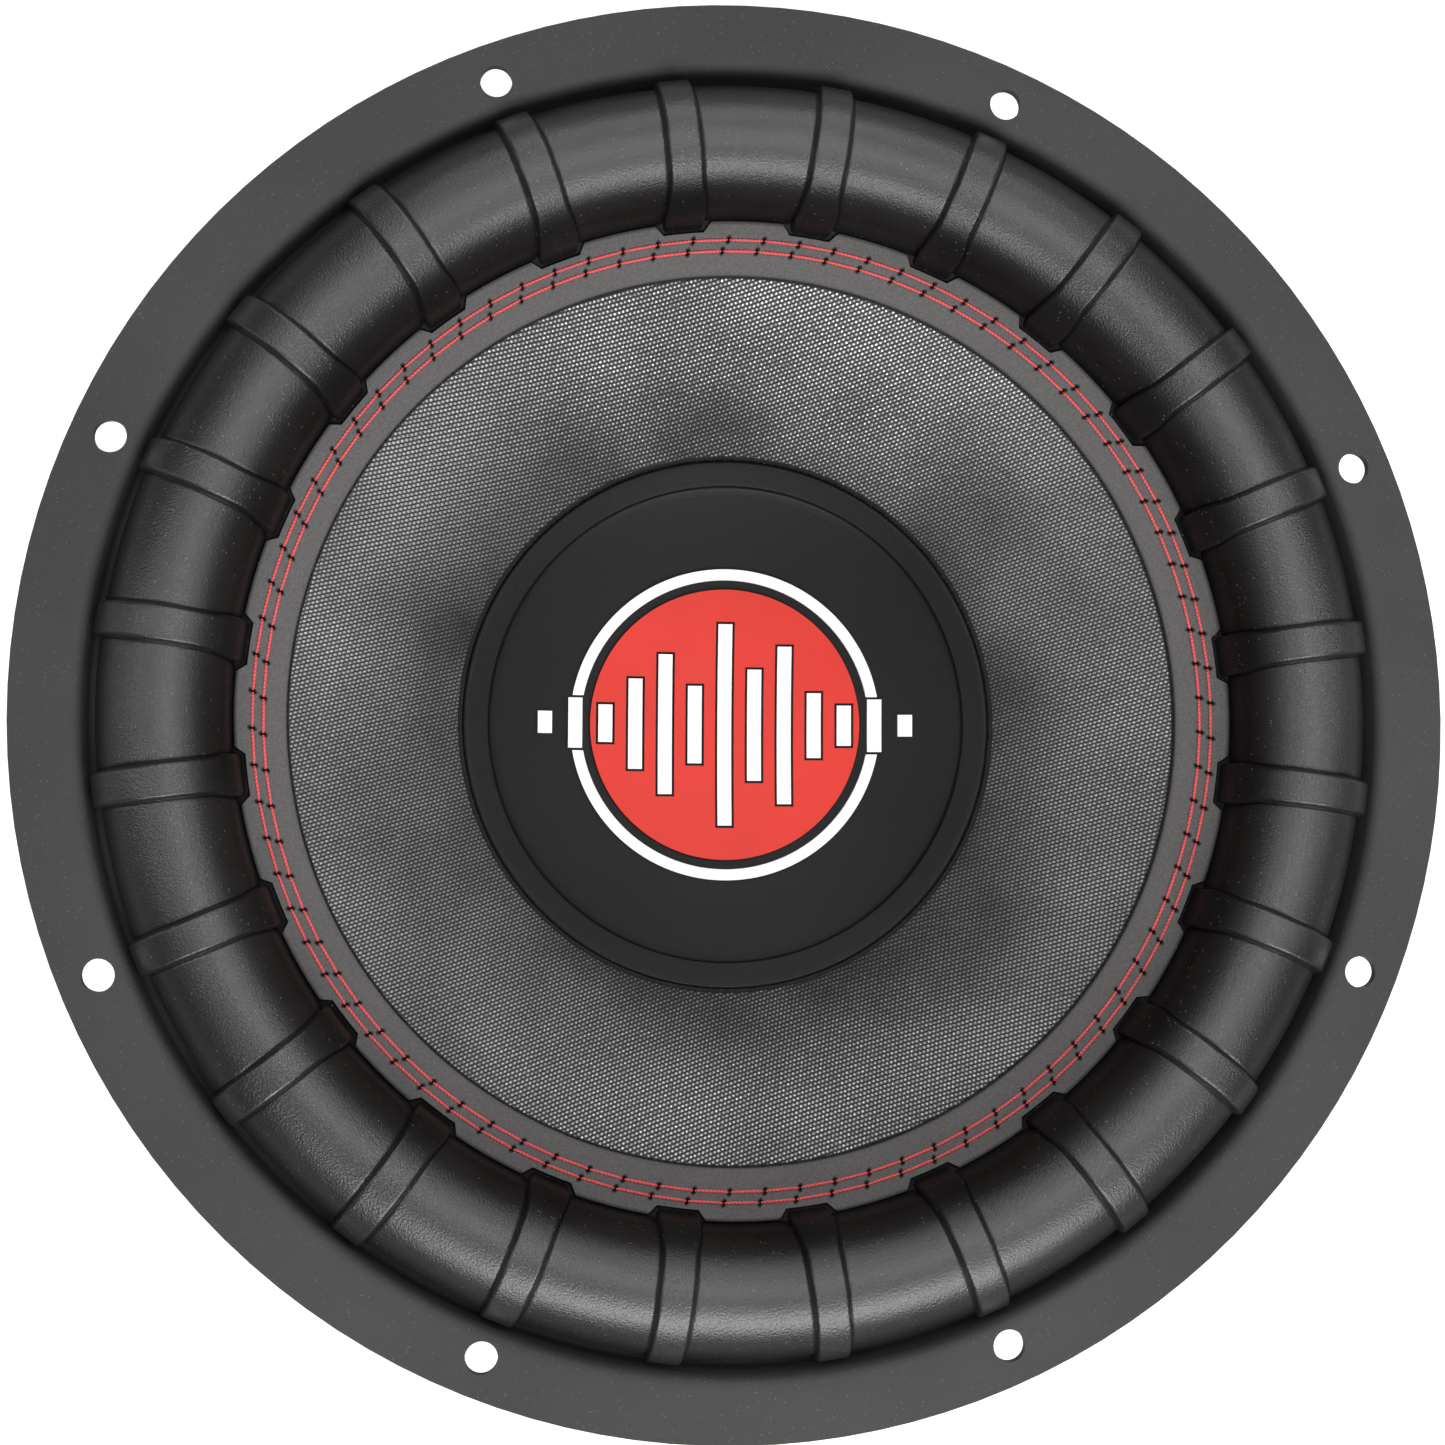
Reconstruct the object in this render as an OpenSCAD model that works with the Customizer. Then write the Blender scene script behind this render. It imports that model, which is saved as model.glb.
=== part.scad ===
// Car subwoofer speaker, 12 inch class: stamped steel basket, double ferrite motor, dual voice coil,
// ribbed half-roll surround stitched to a woven cone, and a dished dust cap.
// Origin: centre of the magnet boot's back face. +Z points out of the cone, to the listener.

/* [Overall] */
// Outer diameter of the mounting flange
flange_d = 316; // [300:1:390]
// Height from the basket floor to the front of the flange
basket_h = 103; // [92:1:130]

/* [Flange] */
// Radial width of the flange outside the recess
flange_w = 14.8; // [14:0.1:20]
// Thickness of the basket's sheet steel
sheet_t = 2; // [1.6:0.1:2.4]
// Depth of the recess that holds the surround's foot
recess = 10; // [8:0.5:13]
// Distance from the flange's edge to the bolt circle
bolt_inset = 8.5; // [8:0.5:10]
// Diameter of the bolt holes
bolt_d = 7; // [5:0.5:8]
// Number of bolt holes
bolt_count = 8; // [4:1:12]

/* [Basket] */
// Width of the two spokes that carry the terminals
spoke_wide = 64; // [60:1:80]
// Width of the other four spokes
spoke_slim = 30; // [20:1:40]
// Radial width of the ledge that the surround is glued to
foot_ledge = 11.2; // [8:0.1:12]
// Radius of the basket floor's round opening
floor_open_r = 50; // [46:1:56]
// Outer radius of the basket floor
floor_r = 80; // [74:1:84]
// Height of the spider ledge above the basket floor
ledge_h = 17; // [17:0.5:20]

/* [Surround] */
// Width of the half roll
roll_w = 27.5; // [22:0.1:32.5]
// Height of the roll above the flange
roll_rise = 8; // [4:0.5:12]
// Thickness of the foam
foam_t = 1.8; // [1.4:0.1:2.4]
// Gap between the roll and the recess wall
roll_gap = 2.4; // [1.8:0.1:4]
// Number of ribs round the roll
rib_count = 24; // [12:1:36]
// Width of a rib
rib_w = 7.8; // [5:0.1:12]
// Height of a rib above the roll
rib_rise = 1.6; // [0.8:0.1:1.8]

/* [Cone] */
// Width of the lip where the surround is stitched to the cone
lip_w = 11; // [9:0.5:14]
// Thickness of the lip
lip_t = 1.2; // [0.8:0.1:1.6]
// Depth of the cone's edge below the flange front
edge_drop = 13; // [11:0.5:15]
// Outward swell of the cone's flare at its middle
flare_swell = 1; // [0:0.2:3]
// Thickness of the paper cone
paper_t = 1.4; // [0.8:0.1:1.8]
// Thickness of the woven skin
skin_t = 0.5; // [0.3:0.1:0.8]
// Height of the cone's neck above the basket floor
neck_rise = 39; // [37:0.5:42]
// Height of the collar that grips the former
collar_h = 6; // [4:0.5:7]

/* [Stitching] */
// Number of stitches in a row
stitch_count = 84; // [60:1:110]
// Thread thickness
thread_d = 0.85; // [0.5:0.05:1]
// Distance of the outer row from the roll
stitch_inset = 4.1; // [3:0.1:6]
// Distance between the two rows
stitch_rows = 2.2; // [1.6:0.1:3]

/* [Dust cap] */
// Diameter of the dust cap
cap_d = 127.6; // [100:0.1:156]
// Width of the bevelled ring round the dish
cap_ring_w = 5.5; // [3:0.5:8]
// Depth of the dish
cap_sag = 9.2; // [4:0.2:11.2]
// Wall of the dust cap
cap_t = 1.2; // [0.8:0.1:1.6]
// Outer diameter of the badge
badge_d = 76.5; // [40:0.5:93]
// Height of the badge above the dish
badge_t = 0.8; // [0.4:0.1:1.5]

/* [Voice coil] */
// Inner diameter of the voice coil former
coil_d = 76.2; // [63.5:0.1:80]
// Wall of the former
former_t = 0.4; // [0.3:0.1:0.6]
// Thickness of each of the two windings
winding_t = 1.05; // [0.6:0.05:1.2]
// Height of the windings
winding_h = 30; // [24:1:36]
// Travel each way from rest
stroke = 12; // [8:0.5:13]
// Clearance inside the former
pole_gap = 0.8; // [0.5:0.1:1.2]
// Clearance outside the windings
plate_gap = 0.9; // [0.5:0.1:1.2]

/* [Motor] */
// Diameter of a ferrite ring
magnet_d = 180; // [170:1:216]
// Height of a ferrite ring
magnet_h = 20; // [16:0.5:24]
// Diameter of the back plate and the front plate
plate_d = 170; // [160:1:200]
// Thickness of the back plate
back_t = 10; // [8:0.5:14]
// Thickness of the front plate
front_t = 8; // [6:0.5:12]
// Diameter of the pole vent
vent_d = 28; // [16:1:34]
// Wall of the rubber boot
boot_t = 6.6; // [5:0.2:9]
// Thickness of the boot's back
boot_back = 3; // [2.5:0.5:5]
// Screws that hold the basket to the front plate
screw_count = 6; // [4:1:8]

/* [Spiders] */
// Thickness of the corrugated cloth
cloth_t = 0.6; // [0.4:0.1:1]
// Corrugation height, each way
wave_h = 2; // [1:0.25:2.25]
// Corrugations across a spider
wave_count = 4.5; // [2.5:1:6.5]
// Height of the ring between the spiders
spacer_h = 8.8; // [8:0.2:10]
// Width of a spider's flat rim
rim_w = 9; // [7:0.5:11]

/* [Terminals] */
// Width of the terminal housing
term_w = 40; // [36:1:48]
// Height of the terminal housing
term_h = 24; // [22:0.5:30]
// Depth of the terminal housing
term_depth = 12; // [11:0.5:15]
// Distance of each pole from the middle
pole_y = 10; // [9:0.5:12]
// Side of a push button
button_w = 9; // [7:0.5:10]
// Travel of a push button
button_travel = 3; // [2:0.5:3]
// Radius of the wire hole
wire_r = 2.2; // [1.5:0.1:2.4]
// Diameter of a tinsel lead
lead_d = 2.4; // [1.8:0.1:3]

/* [Hidden] */
$fn = 144;
skin_gap = 0.05;
soft_gap = 0.3;
big = 2 * flange_d;

// Heights from the boot's back, up through the motor
back_z = boot_back;
magnet_z = back_z + back_t;
plate_z = magnet_z + 2 * magnet_h;
floor_z = plate_z + front_t;
deck_z = floor_z + sheet_t;
front_z = deck_z + basket_h;
ledge_z = deck_z + ledge_h;
foot_z = front_z - recess;

// Radii of the basket
flange_r = flange_d / 2;
wall_r = flange_r - flange_w;
bolt_r = flange_r - bolt_inset;
drum_r = wall_r - foot_ledge;
wall_slant = 3;
pocket_w = 13.5;
pocket_r = floor_r + wall_slant + pocket_w;
pocket_top = ledge_z + spacer_h + 3.2;
slope_top = foot_z - recess;

// The sheet's inner face, from the floor's opening out to the flange's edge, and its bends
basket_path = [
    [floor_open_r, deck_z], [floor_r, deck_z], [floor_r + wall_slant, ledge_z],
    [pocket_r, ledge_z], [pocket_r, pocket_top], [drum_r, slope_top], [drum_r, foot_z],
    [wall_r, foot_z], [wall_r, front_z], [flange_r, front_z]
];
bend_out = sheet_t + 0.6;
bend_in = 1.2;
basket_bends = [0, 3, bend_out, bend_in, 4, 6, bend_out, bend_in, bend_out, 0];

// The slanted wall that holds the windows and the terminals
slope_run = drum_r - pocket_r;
slope_climb = slope_top - pocket_top;
slope_len = sqrt(slope_run * slope_run + slope_climb * slope_climb);
tilt = atan2(slope_run, slope_climb);
slope_r = (drum_r + pocket_r) / 2;
slope_z = (slope_top + pocket_top) / 2;
spokes = [
    [0, spoke_wide], [60, spoke_slim], [120, spoke_slim],
    [180, spoke_wide], [240, spoke_slim], [300, spoke_slim]
];
window_in_r = pocket_r + 3.5;
window_out_r = drum_r - 3.5;
window_bend = 6;

// Terminals sit on flat pads on the wide spokes
pad_proud = 1.2;
pad_w = term_w + 20;
pad_h = term_h + 4;
pad_r = slope_r + (sheet_t + pad_proud) * cos(tilt);
pad_z = slope_z - (sheet_t + pad_proud) * sin(tilt);
ear_y = term_w / 2 + 5.5;
ear_t = 3;
rivet_r = 2;
boss_w = 2 * pole_y + 8;
boss_h = 8;
boss_in = sheet_t + pad_proud + 3;
button_z = 4.5;
button_depth = 6.5;
wire_z = -6.5;
wire_len = 8;
tab_w = 5;
tab_t = 0.8;
tab_in = 8;

// Roll of the surround
roll_r = roll_w / 2;
roll_out_r = wall_r - roll_gap;
roll_in_r = roll_out_r - roll_w;
roll_mid_r = roll_out_r - roll_r;
roll_mid_z = front_z + roll_rise - roll_r;
foot_t = 1.6;
foot_in_r = roll_out_r - 6;
rib_out_rise = min(rib_rise, roll_gap - 0.6);

// Cone, from its neck on the former out to its edge under the roll
former_r = coil_d / 2;
sleeve_r = former_r + former_t;
neck_r = sleeve_r + 0.2;
neck_z = deck_z + neck_rise;
edge_r = roll_in_r + 0.3;
edge_z = front_z - edge_drop;
lip_in_r = roll_in_r - lip_w;
cone_steps = 10;
function cone_u(r) = (r - neck_r) / (edge_r - neck_r);
function cone_z(r) =
    neck_z + (edge_z - neck_z) * cone_u(r) + 4 * flare_swell * cone_u(r) * (1 - cone_u(r));
function lip_z(r) = cone_z(r) + soft_gap + lip_t;

// Dust cap
cap_r = cap_d / 2;
cap_edge = 0.4;
cap_z = cone_z(cap_r);
cap_lip = 0.9;
ring_fall = 1.5;
cap_step = 0.9;
dish_r = cap_r - cap_ring_w - 0.6;
dish_edge_z = cap_z + cap_lip - ring_fall - cap_step;
dish_mid_z = dish_edge_z - cap_sag;
dish_ball = (dish_r * dish_r + cap_sag * cap_sag) / (2 * cap_sag);
dish_steps = 16;
function dish_z(r) = dish_mid_z + dish_ball - sqrt(dish_ball * dish_ball - r * r);

// Badge: a ring round a disc, crossed by the bars of a sound wave, as shares of the badge's radius
badge_r = badge_d / 2;
badge_ring_w = badge_r * 0.07;
badge_disc_r = badge_r - badge_ring_w - badge_r * 0.06;
bar_w = badge_r * 0.09;
bar_pitch = (badge_r - badge_ring_w / 2) / 5;
bar_gap = 0.6;
bar_lengths = [0.14, 0.32, 0.24, 0.58, 0.9, 0.5, 1.3, 0.72, 1.02, 0.42, 0.26, 0.34, 0.14];
bar_middle = (len(bar_lengths) - 1) / 2;

// Motor
magnet_r = magnet_d / 2;
plate_r = plate_d / 2;
pole_r = former_r - pole_gap;
winding_r = sleeve_r + skin_gap;
coil_out_r = winding_r + 2 * winding_t + skin_gap;
gap_r = coil_out_r + plate_gap;
magnet_in_r = gap_r + 6;
winding_z = plate_z + (front_t - winding_h) / 2;
former_z = winding_z - 2;
former_top = neck_z + 3;
pole_top = deck_z + 1;
short_top = former_z - stroke - 4;
short_r = gap_r + 3;
vent_r = vent_d / 2;
mesh_r = vent_r + 6;
mesh_t = 0.6;
mesh_well = 1.5;
chamfer = 1.2;
boot_in_r = magnet_r + 0.4;
boot_r = boot_in_r + boot_t;
boot_top = plate_z + front_t * 0.6;
boot_open_r = vent_r + 1;
groove = 1.2;
screw_ring_r = (floor_open_r + floor_r) / 2 + 1;
screw_r = 2;
screw_head_r = 4;
screw_head_h = 2.6;
screw_len = front_t + sheet_t - 1;
screw_slack = 0.1;

// Spiders
rim_out_r = pocket_r - bend_in - soft_gap;
rim_in_r = rim_out_r - rim_w;
wave_out_r = floor_r - 0.5;
wave_in_r = sleeve_r + 5;
spider_in_r = sleeve_r + soft_gap;
low_spider_z = ledge_z + cloth_t;
top_spider_z = low_spider_z + spacer_h + cloth_t;
wave_steps = 8;
glue_h = 1.2;
glue_w = 1.8;

// Lead pads on the former, just above the upper spider
tag_z = top_spider_z + glue_h + 0.8;
tag_h = 3.4;
tag_w = 5;
tag_t = 0.4;

// The tinsel lead from its tag on the former to the underside of the contact's inner end. Its shape is
// given as shares of the way outwards, sideways and upwards between those two points.
lead_gap = 0.35;
lead_start = [sleeve_r + skin_gap + tag_t + lead_gap, 0.56 * pole_y, tag_z + 1.4];
lead_end_in = boss_in + tab_in - 1.7;
lead_end_down = tab_t / 2 + 0.45;
lead_end = [
    pad_r - lead_end_in * cos(tilt) - lead_end_down * sin(tilt), pole_y,
    pad_z + lead_end_in * sin(tilt) - lead_end_down * cos(tilt)
];
lead_shape = [
    [0, 0, 0], [0.025, 0.05, 0.003], [0.07, 0.14, 0.008], [0.16, 0.32, 0.027], [0.265, 0.5, 0.067],
    [0.37, 0.64, 0.127], [0.475, 0.75, 0.207], [0.58, 0.84, 0.307], [0.67, 0.91, 0.4],
    [0.76, 0.96, 0.5], [0.842, 1, 0.607], [0.91, 1, 0.727], [0.961, 1, 0.867], [1, 1, 1]
];
lead_route = [for (s = lead_shape) [for (k = [0 : 2]) lead_start[k] + (lead_end[k] - lead_start[k]) * s[k]]];

lead_names = ["lead_1_red", "lead_1_black", "lead_2_red", "lead_2_black"];
button_names = ["button_1_red", "button_1_black", "button_2_red", "button_2_black"];
contact_names = ["contact_1_red", "contact_1_black", "contact_2_red", "contact_2_black"];
tag_names = ["lead_tag_1_red", "lead_tag_1_black", "lead_tag_2_red", "lead_tag_2_black"];
rivet_names = ["rivet_1_left", "rivet_1_right", "rivet_2_left", "rivet_2_right"];
screw_names = ["plate_screw_1", "plate_screw_2", "plate_screw_3", "plate_screw_4",
               "plate_screw_5", "plate_screw_6", "plate_screw_7", "plate_screw_8"];

// ---- outlines ----

function unit(v) = v / norm(v);
function turn_right(v) = [v[1], -v[0]];

// Arc of radius q that rounds corner b between a and c
function corner(a, b, c, q, steps) =
    let (
        u = unit(a - b),
        v = unit(c - b),
        half = acos(u * v) / 2,
        middle = b + unit(u + v) * q / sin(half),
        from = b + u * q / tan(half) - middle,
        to = b + v * q / tan(half) - middle,
        start = atan2(from[1], from[0]),
        sweep = (atan2(to[1], to[0]) - start + 540) % 360 - 180
    )
    [for (i = [0 : steps]) middle + q * [cos(start + sweep * i / steps), sin(start + sweep * i / steps)]];

// A path or a closed outline with its corners rounded; a radius of 0 leaves a corner as it is
function rounded(path, radii, steps = 4) =
    let (n = len(path))
    [for (i = [0 : n - 1]) each (radii[i] > 0
        ? corner(path[(i + n - 1) % n], path[i], path[(i + 1) % n], radii[i], steps)
        : [path[i]])];

// The path moved sideways to its right by t
function beside(path, t) =
    let (n = len(path))
    [for (i = [0 : n - 1])
        let (
            before = turn_right(unit(path[max(i, 1)] - path[max(i, 1) - 1])),
            after = turn_right(unit(path[min(i + 1, n - 1)] - path[min(i, n - 2)])),
            mitre = before + after
        )
        path[i] + mitre * 2 * t / (mitre * mitre)];

function reversed(list) = [for (i = [len(list) - 1 : -1 : 0]) list[i]];

// Closed outline of a sheet of thickness t that lies to the right of its path
function sheet(path, t) = concat(path, reversed(beside(path, t)));

function arc_points(r, from, to, steps) =
    [for (i = [0 : steps])
        let (a = from + (to - from) * i / steps)
        r * [cos(a), sin(a)]];

// ---- shared shapes ----

module revolve(outline) {
    rotate_extrude()
        polygon(outline);
}

// Ring with its four edges chamfered by c
module ring(r_in, r_out, z_low, z_top, c = 0) {
    if (c > 0)
        revolve([
            [r_in + c, z_low], [r_out - c, z_low], [r_out, z_low + c], [r_out, z_top - c],
            [r_out - c, z_top], [r_in + c, z_top], [r_in, z_top - c], [r_in, z_low + c]
        ]);
    else
        revolve([[r_in, z_low], [r_out, z_low], [r_out, z_top], [r_in, z_top]]);
}

// Children in a terminal's own frame: +X out of the pad, +Z up the spoke
module at_terminal(side) {
    rotate([0, 0, side])
        translate([pad_r, 0, pad_z])
            rotate([0, tilt, 0])
                children();
}

module block(x, y, z) {
    translate([x[0], y[0], z[0]])
        cube([x[1] - x[0], y[1] - y[0], z[1] - z[0]]);
}

// Tube along a list of points, as one solid
module tube(points, r, sides = 8) {
    n = len(points);
    rings = [for (i = [0 : n - 1])
        let (
            along = unit(points[min(i + 1, n - 1)] - points[max(i - 1, 0)]),
            across = unit(cross(along, [0, 1, 0])),
            other = cross(along, across)
        )
        for (k = [0 : sides - 1])
            points[i] + r * (cos(360 * k / sides) * across + sin(360 * k / sides) * other)];
    walls = [for (i = [0 : n - 2]) for (k = [0 : sides - 1])
        [i * sides + k, i * sides + (k + 1) % sides,
         (i + 1) * sides + (k + 1) % sides, (i + 1) * sides + k]];
    ends = [[for (k = [sides - 1 : -1 : 0]) k], [for (k = [0 : sides - 1]) (n - 1) * sides + k]];
    polyhedron(rings, concat(walls, ends));
}

// ---- basket ----

module window_outline(first, second) {
    inner = arc_points(window_in_r, first[0] + asin(first[1] / 2 / window_in_r),
                       second[0] - asin(second[1] / 2 / window_in_r), 6);
    outer = arc_points(window_out_r, second[0] - asin(second[1] / 2 / window_out_r),
                       first[0] + asin(first[1] / 2 / window_out_r), 6);
    bends = [for (i = [0 : 13]) (i % 7 == 0 || i % 7 == 6) ? window_bend : 0];
    polygon(rounded(concat(inner, outer), bends));
}

module basket_windows() {
    for (i = [0 : 5]) {
        next = i == 5 ? [360, spoke_wide] : spokes[i + 1];
        translate([0, 0, pocket_top - 4])
            linear_extrude(foot_z - sheet_t - pocket_top)
                window_outline(spokes[i], next);
    }
}

module terminal_pad(side) {
    difference() {
        at_terminal(side)
            block([-12, 0], [-pad_w / 2, pad_w / 2], [-pad_h / 2, pad_h / 2]);
        translate([0, 0, pocket_top])
            cylinder(h = slope_climb, r1 = pocket_r + sheet_t / 2, r2 = drum_r + sheet_t / 2);
    }
}

module terminal_cuts(side) {
    at_terminal(side) {
        block([-12, 6], [-boss_w / 2 - 0.3, boss_w / 2 + 0.3], [-boss_h / 2 - 0.3, boss_h / 2 + 0.3]);
        for (y = [-ear_y, ear_y])
            translate([-12, y, 0])
                rotate([0, 90, 0])
                    cylinder(h = 18, r = rivet_r + screw_slack, $fn = 32);
    }
}

module basket() {
    color([0.06, 0.06, 0.065])
        difference() {
            union() {
                revolve(sheet(rounded(basket_path, basket_bends), sheet_t));
                terminal_pad(0);
                terminal_pad(180);
            }
            for (i = [0 : bolt_count - 1])
                rotate([0, 0, (i + 0.5) * 360 / bolt_count])
                    translate([bolt_r, 0, front_z - 2 * sheet_t])
                        cylinder(h = 3 * sheet_t, r = bolt_d / 2, $fn = 48);
            for (i = [0 : screw_count - 1])
                rotate([0, 0, (i + 0.5) * 360 / screw_count])
                    translate([screw_ring_r, 0, floor_z - 1])
                        cylinder(h = sheet_t + 2, r = screw_r + screw_slack, $fn = 32);
            basket_windows();
            terminal_cuts(0);
            terminal_cuts(180);
        }
}

// ---- motor ----

module front_plate() {
    color([0.55, 0.56, 0.58])
        difference() {
            ring(gap_r, plate_r, plate_z, floor_z, 0.6);
            for (i = [0 : screw_count - 1])
                rotate([0, 0, (i + 0.5) * 360 / screw_count])
                    translate([screw_ring_r, 0, plate_z - 1])
                        cylinder(h = front_t + 2, r = screw_r + screw_slack, $fn = 32);
        }
}

module magnet_front() {
    color([0.16, 0.16, 0.17])
        ring(magnet_in_r, magnet_r, magnet_z + magnet_h, plate_z, chamfer);
}

module magnet_rear() {
    color([0.16, 0.16, 0.17])
        ring(magnet_in_r, magnet_r, magnet_z, magnet_z + magnet_h, chamfer);
}

module yoke() {
    color([0.55, 0.56, 0.58])
        revolve([
            [mesh_r + 0.5, back_z], [plate_r - 2, back_z], [plate_r, back_z + 2],
            [plate_r, magnet_z], [pole_r, magnet_z], [pole_r, pole_top - 1.5],
            [pole_r - 1.5, pole_top], [vent_r + 3, pole_top], [vent_r, pole_top - 5],
            [vent_r, back_z + mesh_well], [mesh_r + 0.5, back_z + mesh_well]
        ]);
}

module shorting_ring() {
    color([0.8, 0.8, 0.82])
        ring(pole_r + 0.1, short_r, magnet_z, short_top, 0.5);
}

module magnet_boot() {
    color([0.05, 0.05, 0.05])
        difference() {
            revolve([
                [boot_open_r, 0], [boot_r - 5, 0], [boot_r - 1.5, 1.5], [boot_r, 5],
                [boot_r, boot_top - 2], [boot_r - 2, boot_top], [boot_in_r, boot_top],
                [boot_in_r, boot_back], [boot_open_r, boot_back]
            ]);
            for (i = [0 : 2])
                ring(boot_r - groove, boot_r + 1, magnet_z + magnet_h * (0.5 + i * 0.5) - 1,
                     magnet_z + magnet_h * (0.5 + i * 0.5) + 1);
        }
}

module vent_mesh() {
    color([0.1, 0.1, 0.1])
        translate([0, 0, back_z + mesh_well - mesh_t])
            cylinder(h = mesh_t, r = mesh_r);
}

module plate_screw(i) {
    color([0.2, 0.2, 0.21])
        rotate([0, 0, (i + 0.5) * 360 / screw_count])
            translate([screw_ring_r, 0, deck_z]) {
                translate([0, 0, -screw_len])
                    cylinder(h = screw_len, r = screw_r, $fn = 32);
                difference() {
                    cylinder(h = screw_head_h, r = screw_head_r, $fn = 48);
                    translate([0, 0, 1])
                        cylinder(h = screw_head_h, r = 1.7, $fn = 6);
                }
            }
}

// ---- suspension ----

// Top face of a spider: a flat inner rim, sine waves, and a flat outer rim
function spider_path(z) =
    let (n = wave_steps * wave_count)
    concat(
        [[spider_in_r, z]],
        [for (i = [0 : n])
            [wave_in_r + (wave_out_r - wave_in_r) * i / n, z + wave_h * sin(360 * wave_count * i / n)]],
        [[rim_out_r, z]]
    );

module spider(z) {
    color([0.85, 0.66, 0.22])
        revolve(sheet(spider_path(z), cloth_t));
}

module spider_upper() {
    spider(top_spider_z);
}

module spider_lower() {
    spider(low_spider_z);
}

module spider_spacer() {
    color([0.08, 0.08, 0.08])
        ring(rim_in_r, rim_out_r, low_spider_z, low_spider_z + spacer_h, 0.4);
}

// Half circle above the roll's middle height, of radius r
module half_disc(r) {
    intersection() {
        translate([roll_mid_r, roll_mid_z])
            circle(r);
        translate([roll_mid_r - 2 * roll_w, roll_mid_z])
            square([4 * roll_w, 2 * roll_w]);
    }
}

// The roll with its two legs, its foot on the ledge and its lip on the cone
module roll_section() {
    lip = [for (i = [0 : 3]) lip_in_r + (edge_r + foam_t - lip_in_r) * i / 3];
    difference() {
        half_disc(roll_r);
        half_disc(roll_r - foam_t);
    }
    translate([roll_out_r - foam_t, foot_z])
        square([foam_t, roll_mid_z - foot_z + 0.01]);
    translate([foot_in_r, foot_z])
        square([wall_r - roll_gap / 2 - foot_in_r - 0.3, foot_t]);
    translate([roll_in_r, lip_z(roll_in_r) - lip_t / 2])
        square([foam_t, roll_mid_z - lip_z(roll_in_r) + lip_t / 2 + 0.01]);
    polygon(concat([for (r = lip) [r, lip_z(r)]], [for (r = reversed(lip)) [r, lip_z(r) - lip_t]]));
}

// The band that stands proud of the roll where a rib crosses it
module rib_section() {
    difference() {
        half_disc(roll_r + rib_rise);
        half_disc(roll_r - foam_t / 2);
        translate([roll_out_r + rib_out_rise, 0])
            square(big);
    }
    translate([roll_out_r - foam_t / 2, foot_z + foot_t / 2])
        square([foam_t / 2 + rib_out_rise, roll_mid_z - foot_z - foot_t / 2 + 0.01]);
    translate([roll_in_r - rib_rise, lip_z(roll_in_r) - lip_t / 2])
        square([rib_rise + foam_t / 2, roll_mid_z - lip_z(roll_in_r) + lip_t / 2 + 0.01]);
}

module surround() {
    color([0.09, 0.09, 0.095])
        union() {
            rotate_extrude()
                roll_section();
            intersection() {
                rotate_extrude()
                    rib_section();
                for (i = [0 : rib_count - 1])
                    rotate([0, 0, (i + 0.5) * 360 / rib_count])
                        translate([roll_in_r - lip_w, -rib_w / 2, 0])
                            cube([roll_w + 2 * lip_w, rib_w, 2 * front_z]);
            }
        }
}

// ---- cone ----

function cone_path(from, to) =
    [for (i = [0 : cone_steps])
        let (r = from + (to - from) * i / cone_steps)
        [r, cone_z(r)]];

module cone_paper() {
    top = beside(cone_path(neck_r, edge_r), skin_t + skin_gap);
    color([0.12, 0.11, 0.1]) {
        revolve(sheet(top, paper_t));
        ring(neck_r, neck_r + paper_t, neck_z - collar_h, neck_z);
    }
}

module cone_skin() {
    color([0.33, 0.33, 0.34])
        revolve(sheet(cone_path(neck_r + paper_t, edge_r), skin_t));
}

module stitch_row(r, shift) {
    pitch = 360 / stitch_count;
    length = 2 * PI * r / stitch_count * 0.8;
    for (i = [0 : stitch_count - 1])
        rotate([0, 0, (i + shift) * pitch])
            translate([r, 0, lip_z(r) + (thread_d / 2 + skin_gap) / cos(40)])
                rotate([90, 0, 0])
                    cylinder(h = length, r = thread_d / 2, center = true, $fn = 16);
}

module stitch_outer() {
    color([0.85, 0.18, 0.16])
        stitch_row(roll_in_r - stitch_inset, 0);
}

module stitch_inner() {
    color([0.85, 0.18, 0.16])
        stitch_row(roll_in_r - stitch_inset - stitch_rows, 0.17);
}

module dust_cap() {
    dish = [for (i = [0 : dish_steps]) [dish_r * i / dish_steps, dish_z(dish_r * i / dish_steps)]];
    ring_z = cap_z + cap_lip - ring_fall;
    foot_r = cap_r - 1.3;
    color([0.05, 0.05, 0.055])
        revolve(concat(
            dish,
            [[dish_r + 0.6, ring_z], [cap_r - 0.6, cap_z + cap_lip],
             [cap_r + cap_edge, cone_z(cap_r + cap_edge) + skin_gap],
             [foot_r, cone_z(foot_r) + skin_gap], [dish_r + 1.6, ring_z - cap_t]],
            [for (p = reversed(dish)) [p[0] + (p[0] > 0 ? cap_t * 0.6 * p[0] / dish_r : 0), p[1] - cap_t]]
        ));
}

module cap_bead() {
    in_r = cap_r + cap_edge + skin_gap;
    out_r = in_r + 1.1;
    color([0.02, 0.02, 0.02])
        revolve([
            [in_r, cone_z(in_r) + skin_gap], [out_r, cone_z(out_r) + skin_gap],
            [in_r, cone_z(out_r) + skin_gap]
        ]);
}

// Children cut from a shell that lies on the dish
module on_dish(lift) {
    intersection() {
        translate([0, 0, dish_mid_z - big])
            linear_extrude(2 * big)
                children();
        translate([0, 0, dish_mid_z + dish_ball])
            difference() {
                sphere(dish_ball - skin_gap, $fn = 200);
                sphere(dish_ball - skin_gap - lift, $fn = 200);
            }
        translate([-badge_d, -badge_d, dish_mid_z - 1])
            cube([2 * badge_d, 2 * badge_d, cap_sag + badge_t + 2]);
    }
}

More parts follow.
